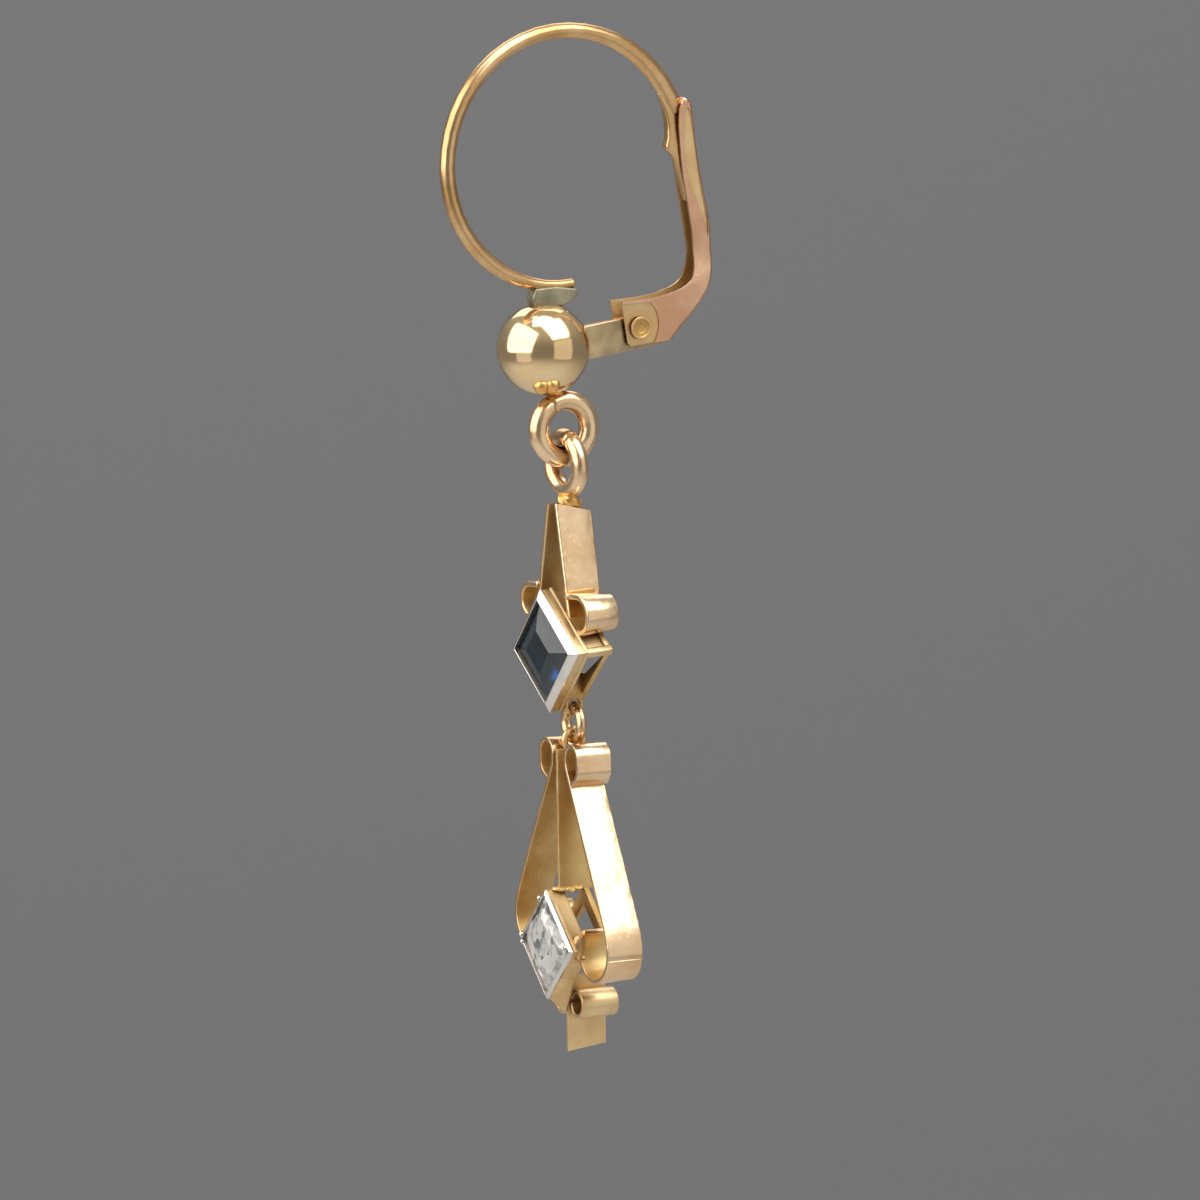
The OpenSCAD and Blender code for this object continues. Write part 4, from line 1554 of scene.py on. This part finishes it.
@dataclass
class LowerDrop(SubAssembly):
    """The lower drop: a pear of scrolled strip with the diamond set at its foot, and a tail with two tubes."""

    body: str = "lower_drop"
    nodes: tuple[str, ...] = ("lower_frame", "diamond")
    strip: Point = (0.22, 2.2)  # thickness and width
    front: float = -0.95  # the strip's front edge
    near: PearSide = PearSide(27, 0.74, 5.07)
    far: PearSide = PearSide(29.5, 0.64, 4.95)
    level: float = -1.25  # height where the legs reach their curls
    foot_r: float = 1.64  # radius of the bend at the foot
    ease: Point = (4.0, 12.0)  # radius of the bend above it, and the angle where it starts
    top_ease: Point = (1.2, 0.289)  # radius of the bend below the curl, and the length it takes
    inner_r: float = 1.36  # radius of the inner scroll
    inner_end: float = 133.0  # where the inner scroll ends, in degrees
    curl_r: float = 0.66  # radius of the curl at the top
    curl_tuck: float = 62.0  # how far the curl is tucked in, in degrees
    bar: Triple = (-7.75, 2.27, -1.02)  # foot, width and front of the centre bar
    box: float = 4.02  # side of the square setting
    centre: float = -10.47  # height of the setting's middle
    face: float = -1.87  # the setting's front
    rim: float = 0.17  # width of the white frame
    scroll_place: Triple = (3.42, 0.12, -10.2)  # middle of the notch that the inner scroll lies in
    draw_down: Point = (1.9, 0.82)  # half the width and depth of the wall's drawn corner
    wall_depth: float = 0.92  # from front to back
    loop: Point = (0.54, 0.34)  # radius of the wire's middle, and the wire's diameter
    tail: Point = (-16.1, -0.65)  # foot and front of the tail
    tail_slope: float = 0.24  # how far its foot rises to the back
    tube: Triple = (0.63, 2.1, -0.55)  # radius, length and front of the small tubes
    tube_turn: float = 338.0  # how far each is rolled round, in degrees

    def build(self) -> None:
        """Make all of the lower drop's pieces."""
        loop = BENCH.ring("lower_loop", Plane.SIDE, (0, -0.06), 0, *self.loop)
        self.dress(loop, self.palette.inner, Slot.YELLOW)
        for side, shape in ((Side.NEAR, self.near), (Side.FAR, self.far)):
            self.make_ribbon(side, shape)
        self.make_bar()
        self.make_setting()
        self.make_back()
        self.make_grains()
        self.make_tail()
        self.make_diamond()

    def make_ribbon(self, side: Side, shape: PearSide) -> None:
        """Bend one side of the pear from the end of its inner scroll, round the foot and up to its curl.

        Args:
            side: The side.
            shape: Its sizes.
        """
        lean = math.radians(shape.lean)
        ease = math.radians(self.ease[1])
        end_x = shape.half - self.foot_r * (1 - math.cos(ease)) - self.ease[0] * (math.cos(ease) - math.cos(lean))
        end = Vector((end_x, self.level - (end_x - shape.start) / math.tan(lean)))
        hip = end - self.ease[0] * Vector((math.cos(lean) - math.cos(ease), math.sin(lean) - math.sin(ease)))
        foot = hip - self.foot_r * Vector((math.cos(ease), math.sin(ease)))
        inner = foot - Vector((0, self.foot_r - self.inner_r))
        first = math.radians(self.inner_end)
        start = inner + self.inner_r * Vector((math.cos(first), math.sin(first)))
        leg = (end - Vector((shape.start, self.level))).length - self.top_ease[1]
        moves = [Turn(self.inner_r, 270 - self.inner_end), Turn(self.foot_r, 90 + self.ease[1]),
                 Turn(self.ease[0], shape.lean - self.ease[1]), Run(leg), Turn(self.top_ease[0], -shape.lean),
                 Run(0.14), Turn(self.curl_r, -180), Run(0.55), Turn(self.curl_r, -self.curl_tuck), Run(0.42)]
        piece = BENCH.bend(f"pear_{side.word}", Plane.FRONT, tuple(start), self.inner_end + 90, moves, self.strip,
                           self.front, edge=0.045)
        BENCH.reshape(piece, self.narrow)
        self.dress(BENCH.flip(piece, side), self.palette.strip, Slot.YELLOW)
        eye = self.where @ Vector((side.value * inner.x, 0, inner.y))
        tip = self.where @ Vector((side.value * (shape.start + self.curl_r + 0.02), 0, self.level + 0.35))
        self.line_ribbon(piece, side, eye, tip)
        self.end_ribbon(side, start, foot)

    def narrow(self, p: Vector) -> Vector:
        """Narrow the pear's strip at the curl and towards the foot.

        Args:
            p: A corner of the even strip.

        Returns:
            Where it goes.
        """
        share = (p.y - self.front) / self.strip[1]
        if p.z > -2.4:
            depth = 1.95 + 0.25 * min(1.0, max(0.0, (-1.9 - p.z) / 0.5))
        else:
            depth = self.strip[1] - 0.2 * min(1.0, (-2.4 - p.z) / 6)
        return Vector((p.x, self.front + share * depth, p.z))

    def line_ribbon(self, piece: bpy.types.Object, side: Side, eye: Vector, tip: Vector) -> None:
        """Give the pear's inner faces their own finishes: painted light inside the scrolls, and painted shade on the
        faces that look in towards the middle.

        Args:
            piece: The dressed strip.
            side: Its side.
            eye: Middle of the scroll at the foot.
            tip: Middle of the curl at the top.
        """
        def inside(middle: Vector, normal: Vector) -> bool | None:
            """Say whether a face looks into a scroll, or None where it is on none or outside the foot."""
            to = eye - middle
            at_foot = not (to.z < 1.3 and side.value * to.x < 0)
            scrolls = [(eye, self.inner_r + 0.5)] if at_foot else []
            return looks_in(middle, normal, [*scrolls, (tip, self.curl_r + 0.45)])

        BENCH.line(piece, self.palette.painted_light_inside, lambda middle, normal: bool(inside(middle, normal)))
        BENCH.line(piece, self.palette.shaded_unpolished, lambda middle, normal: inside(middle, normal) is None
                   and side.value * normal.x < 0)

    def end_ribbon(self, side: Side, start: Vector, foot: Vector) -> None:
        """Roll the strip's inner end, and leave the seam at the foot.

        Args:
            side: The side.
            start: Where the strip starts.
            foot: Middle of the foot's bend.
        """
        rolled = BENCH.rod(f"pear_end_{side.word}", tuple(start), self.front - 0.02, self.front + 1.95, 0.16)
        # Painted shade: the far side's rolled end takes the shaded copy of the gold, and the near one the bright
        # strip.
        self.dress(BENCH.flip(rolled, side),
                   self.palette.shaded_unpolished if side is Side.FAR else self.palette.strip, Slot.YELLOW)
        low = math.radians(-14)
        at = foot + (self.foot_r + 0.1) * Vector((math.cos(low), math.sin(low)))
        seam = BENCH.rod(f"foot_seam_{side.word}", tuple(at), self.front + 0.05, self.front + 1.95, 0.045)
        self.dress(BENCH.flip(seam, side), self.palette.strip, Slot.YELLOW)

    def make_bar(self) -> None:
        """Roll the centre bar and tie the legs to it with solder."""
        foot, width, front = self.bar
        bar = BENCH.bend("centre_bar", Plane.FRONT, (0, foot), 90, [Run(1.5), Run(2), Run(2), Run(1.75)],
                         (self.strip[0], width), front)
        # Painted light: the bar takes the lighter copy of the gold.
        self.dress(bar, self.palette.painted_light_inside, Slot.YELLOW)
        tie = BENCH.block("curl_solder", (0, 0, self.level), (1.35, 1.1, 0.36))
        self.dress(BENCH.soften(tie, 0.12, 4), self.palette.solder, Slot.YELLOW)

    def make_setting(self) -> None:
        """Saw the thin white frame round the diamond and the gold wall behind it."""
        front = self.face - 0.02
        plate = BENCH.square_frame("diamond_rim", self.centre, self.box, self.rim, front, front + 0.28)
        BENCH.slope_rim(plate, self.centre, front, (self.box - self.rim) / math.sqrt(2), 0.1)
        BENCH.soften(plate, 0.04)
        self.dress(plate, self.palette.white, Slot.WHITE, angle=30)
        front = self.face + 0.2
        wall = BENCH.square_frame("diamond_wall", self.centre, self.box - 0.06, 0.14, front,
                                  front + self.wall_depth)
        x, y, z = self.scroll_place
        for side in (-1, 1):
            BENCH.cut(wall, BENCH.pin("scroll_place", Plane.FRONT, (side * x, z), y - 1.5, y + 1.5,
                                      self.inner_r - 0.04, sides=64))
        BENCH.done(wall)
        BENCH.score(wall, (0, 1, 0), [self.face + depth for depth in (0.45, 0.7, 0.95)])
        reach, drop = self.draw_down
        BENCH.score(wall, (1, 0, 0), (-reach, -0.9, 0.9, reach))

        def lower(p: Vector) -> Vector:
            """Draw the wall's lower corner down and back to the tail."""
            back = max(0.0, (p.y - front) / self.wall_depth)
            return p - Vector((0, 0, drop * back * max(0.0, 1 - abs(p.x) / reach))) if p.z < self.centre else p

        BENCH.reshape(wall, lower)
        BENCH.soften(wall, 0.03, segments=2)
        self.dress(wall, self.palette.inner, Slot.YELLOW, angle=30)

    def make_back(self) -> None:
        """Set the half frame that braces the setting, and the foil behind the diamond."""
        brace = BENCH.square_frame("brace_frame", self.centre, self.box, 0.66, 0.38, 0.7)
        BENCH.soften(BENCH.cut_below(brace, self.centre + 0.55), 0.05)
        # Painted shade: the brace behind the setting takes the shaded copy of the gold.
        self.dress(brace, self.palette.shaded_unpolished, Slot.YELLOW, angle=30)
        foil = BENCH.square_frame("diamond_foil", self.centre, 2.9, 1.42, self.face + 0.92, self.face + 0.97)
        self.dress(foil, self.palette.foil, Slot.WHITE, angle=30)

    def make_grains(self) -> None:
        """Melt the white grains that hold the diamond, and the solder round its setting."""
        grains = (((-2.6, 0.05, 0.14), (0.17, 0.14, 0.17), 0.1), ((-2.46, 0.02, -0.2), (0.14, 0.12, 0.14), 0.1),
                  ((-0.68, 0.1, 2.27), (0.11, 0.11, 0.17), 0.1), ((2.3, 0.0, 0.1), (0.12, 0.1, 0.2), 0.1))
        lumps = (((0.0, 0.9, 2.8), (0.3, 0.36, 0.14), 0.16), ((0.14, 1.45, 2.74), (0.3, 0.3, 0.18), 0.16),
                 ((0.0, 1.9, 2.78), (0.26, 0.36, 0.14), 0.16))
        ties = [((side * 2.3, 0.76, 0.2), (0.3, 0.36, 0.62), 0.1) for side in (-1, 1)]
        # Painted light: the solder behind the diamond takes the lighter copy of the gold.
        for name, drops, material, slot in (
                ("diamond_grains", grains, self.palette.white, Slot.WHITE),
                ("diamond_solder", lumps, self.palette.painted_light_inside, Slot.YELLOW),
                ("scroll_solder", ties, self.palette.inner, Slot.YELLOW)):
            pieces = [BENCH.lump(f"{name}_drop", (x, self.face + y, self.centre + z), size, rough)
                      for (x, y, z), size, rough in drops]
            self.dress(BENCH.join(pieces, name), material, slot)

    def make_tail(self) -> None:
        """Hang the tail under the diamond, with a small tube of strip on each side."""
        end, front = self.tail
        tail = BENCH.bend("tail", Plane.FRONT, (0, end), 90, [Run(0.6), Run(0.9), Run(1.2), Run(1.2)],
                          self.strip, front)
        BENCH.reshape(tail, lambda p: p + Vector((
            0, 0, self.tail_slope * (p.y - front) / self.strip[1] if p.z < end + 0.1 else 0)))
        stub = BENCH.bend("tail_stub", Plane.FRONT, (0, -13.05), 90, [Run(0.8)], (0.17, 1.0), -0.92)
        self.dress(BENCH.join([tail, stub], "tail"), self.palette.inner, Slot.YELLOW)
        radius, width, front = self.tube
        for side in Side:
            tube = BENCH.bend(f"tube_{side.word}", Plane.FRONT, (0.22, -13.56), -90, [Turn(radius, self.tube_turn)],
                              (self.strip[0], width), front, edge=0.05)
            self.dress(BENCH.flip(tube, side), self.palette.inner, Slot.YELLOW)

    def make_diamond(self) -> None:
        """Cut the diamond: a small table, a crown in three rows, girdle and a steep foot."""
        half, girdle = self.box / 2 - 0.1, self.face + 0.24
        rows = [(0.42 * half, girdle - 0.44), (0.62 * half, girdle - 0.36), (0.84 * half, girdle - 0.16),
                (half, girdle), (half, girdle + 0.06), (0.6 * half, girdle + 0.4), (0.08 * half, girdle + 0.68)]
        piece = BENCH.stone("diamond_cut", self.centre, rows, 0.04)
        BENCH.edit(piece, lambda p: p.y < girdle - 0.02)
        bpy.ops.mesh.subdivide(number_cuts=2)
        bpy.ops.mesh.quads_convert_to_tris()
        bpy.ops.object.mode_set(mode="OBJECT")
        BENCH.reshape(piece, lambda p: p + Vector((
            0.08 * math.sin(3.1 * p.z + 5 * p.x), 0.07 * math.sin(6.3 * p.x + 2 * p.z) * math.cos(5.1 * p.z - p.x),
            0.08 * math.sin(4.3 * p.x + 1))) if p.y < girdle - 0.05 else p)
        self.dress(piece, self.palette.diamond, Slot.DIAMOND, angle=1, node="diamond")


@dataclass(frozen=True)
class SoftBox:
    """A soft light panel: where it hangs round the earring in degrees, how far off, its size and its brightness."""

    name: str
    azimuth: float
    elevation: float
    away: float
    wide: float
    high: float
    bright: float
    colour: str = "#ffffff"


@dataclass
class Studio:
    """The floor, soft lights and camera. The camera's target and distance are in millimetres, the rest in metres."""

    target: Triple = (3.811, -0.196, -28.153)
    azimuth: float = 62.0
    elevation: float = 7.0
    distance: float = 400.0
    lens: float = 237.8
    sensor: float = 36.0
    clip: Point = (0.01, 50.0)
    floor_level: float = -0.3
    floor_radius: float = 6.0
    backdrop_away: float = 0.55
    backdrop_side: float = 0.6
    boxes: tuple[SoftBox, ...] = (
        SoftBox("right", 112, 51, 0.5, 0.46, 0.42, 2.9, "#fffdf8"),
        SoftBox("card", 114, 2, 0.5, 0.5, 0.4, 0.5, "#fff8ee"),
        SoftBox("left", 0, 24, 0.5, 0.8, 0.54, 2.0, "#fffaf2"),
        SoftBox("left_low", 12, -10, 0.5, 0.36, 0.26, 0.45, "#fffaf2"),
        SoftBox("top", 56, 78, 0.5, 0.34, 0.28, 2.8),
        SoftBox("back", 250, 46, 0.5, 0.5, 0.3, 1.4),
    )

    def toward(self, azimuth: float, elevation: float) -> Vector:
        """Return the unit vector from the target towards a place round it."""
        a, e = math.radians(azimuth), math.radians(elevation)
        return Vector((math.sin(a) * math.cos(e), -math.cos(a) * math.cos(e), math.sin(e)))

    def build(self) -> None:
        """Set up the studio."""
        self.make_camera()
        self.make_floor()
        self.make_lights()
        self.make_room()

    def make_camera(self) -> None:
        """Stand the camera where the photograph was taken from."""
        BENCH.clear()
        bpy.ops.object.camera_add()
        camera = bpy.context.object
        back = self.toward(self.azimuth, self.elevation)
        camera.location = (Vector(self.target) + back * self.distance) * MM
        camera.rotation_euler = (-back).to_track_quat("-Z", "Y").to_euler()
        camera.data.lens, camera.data.sensor_width = self.lens, self.sensor
        camera.data.clip_start, camera.data.clip_end = self.clip
        bpy.context.scene.camera = camera

    def make_floor(self) -> None:
        """Lay a wide pale floor below the earring, and stand a grey backdrop behind it."""
        BENCH.clear()
        bpy.ops.mesh.primitive_circle_add(vertices=96, radius=self.floor_radius, fill_type="NGON",
                                          location=(0, 0, self.floor_level))
        floor = BENCH.named("floor")
        floor.data.materials.append(StudioFinish("studio_paper", "#bfbebd").make())
        BENCH.clear()
        back = self.toward(self.azimuth + 180, 0)
        bpy.ops.mesh.primitive_plane_add(size=self.backdrop_side, location=back * self.backdrop_away,
                                         rotation=(math.pi / 2, 0, math.radians(self.azimuth + 180)))
        backdrop = BENCH.named("backdrop")
        bpy.ops.object.transform_apply(location=True, rotation=True, scale=True)
        backdrop.data.materials.append(StudioFinish("backdrop_paper", "#7a7b7f").make())

    def make_lights(self) -> None:
        """Hang the soft boxes."""
        middle = Vector(self.target) * MM
        for box in self.boxes:
            back = self.toward(box.azimuth, box.elevation)
            bpy.ops.object.light_add(type="AREA", location=middle + back * box.away)
            lamp = bpy.context.object
            lamp.name = f"softbox_{box.name}"
            lamp.data.shape, lamp.data.size, lamp.data.size_y = "RECTANGLE", box.wide, box.high
            lamp.data.energy = box.bright * math.pi * box.wide * box.high
            lamp.data.color = linear(box.colour)[:3]
            lamp.rotation_euler = (-back).to_track_quat("-Z", "Y").to_euler()
            lamp.visible_camera = False

    def make_room(self) -> None:
        """Light the room evenly, brighter towards its ceiling."""
        world = bpy.data.worlds.new("room")
        bpy.context.scene.world = world
        world.use_nodes = True
        tree = world.node_tree
        tree.nodes.clear()
        where = add_node(tree, "ShaderNodeTexCoord").outputs["Generated"]
        height = add_node(tree, "ShaderNodeSeparateXYZ", inputs={0: where}).outputs["Z"]
        rise = add_node(tree, "ShaderNodeMapRange", {"interpolation_type": "SMOOTHSTEP"}, {
            "Value": height, "From Min": 0.05, "From Max": 0.8, "To Min": 0.0, "To Max": 1.0})
        colour = add_node(tree, "ShaderNodeMix", {"data_type": "RGBA"}, {
            0: rise.outputs["Result"], 6: linear("#86837e"), 7: linear("#b8b4ae")})
        sky = add_node(tree, "ShaderNodeBackground", inputs={"Color": colour.outputs[2], "Strength": 1.0})
        add_node(tree, "ShaderNodeOutputWorld", inputs={"Surface": sky.outputs["Background"]})
        view = bpy.context.scene.view_settings
        view.view_transform, view.exposure = "Standard", 0.0


def main() -> None:
    """Load the frame, build every sub-assembly and the studio, and note the sizes."""
    logging.basicConfig(level=logging.INFO, format="%(name)s: %(message)s")
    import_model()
    palette = Palette()
    upper = Matrix.Translation((0, -0.260556, -20.2127)) @ Euler(
        [math.radians(a) for a in (3.5, -3.0, 3.5)]).to_matrix().to_4x4()
    lower = Matrix.Translation((0.706392, -0.0600353, -35.5999)) @ Matrix.Rotation(math.radians(1), 4, "X")
    for assembly in (EarHook(palette), Lever(palette), HingePin(palette), UpperDrop(palette, where=upper),
                     Link(palette), LowerDrop(palette, where=lower)):
        assembly.build()
        LOG.info("%s is built", type(assembly).__name__)
    Studio().build()


if __name__ == "__main__":
    main()
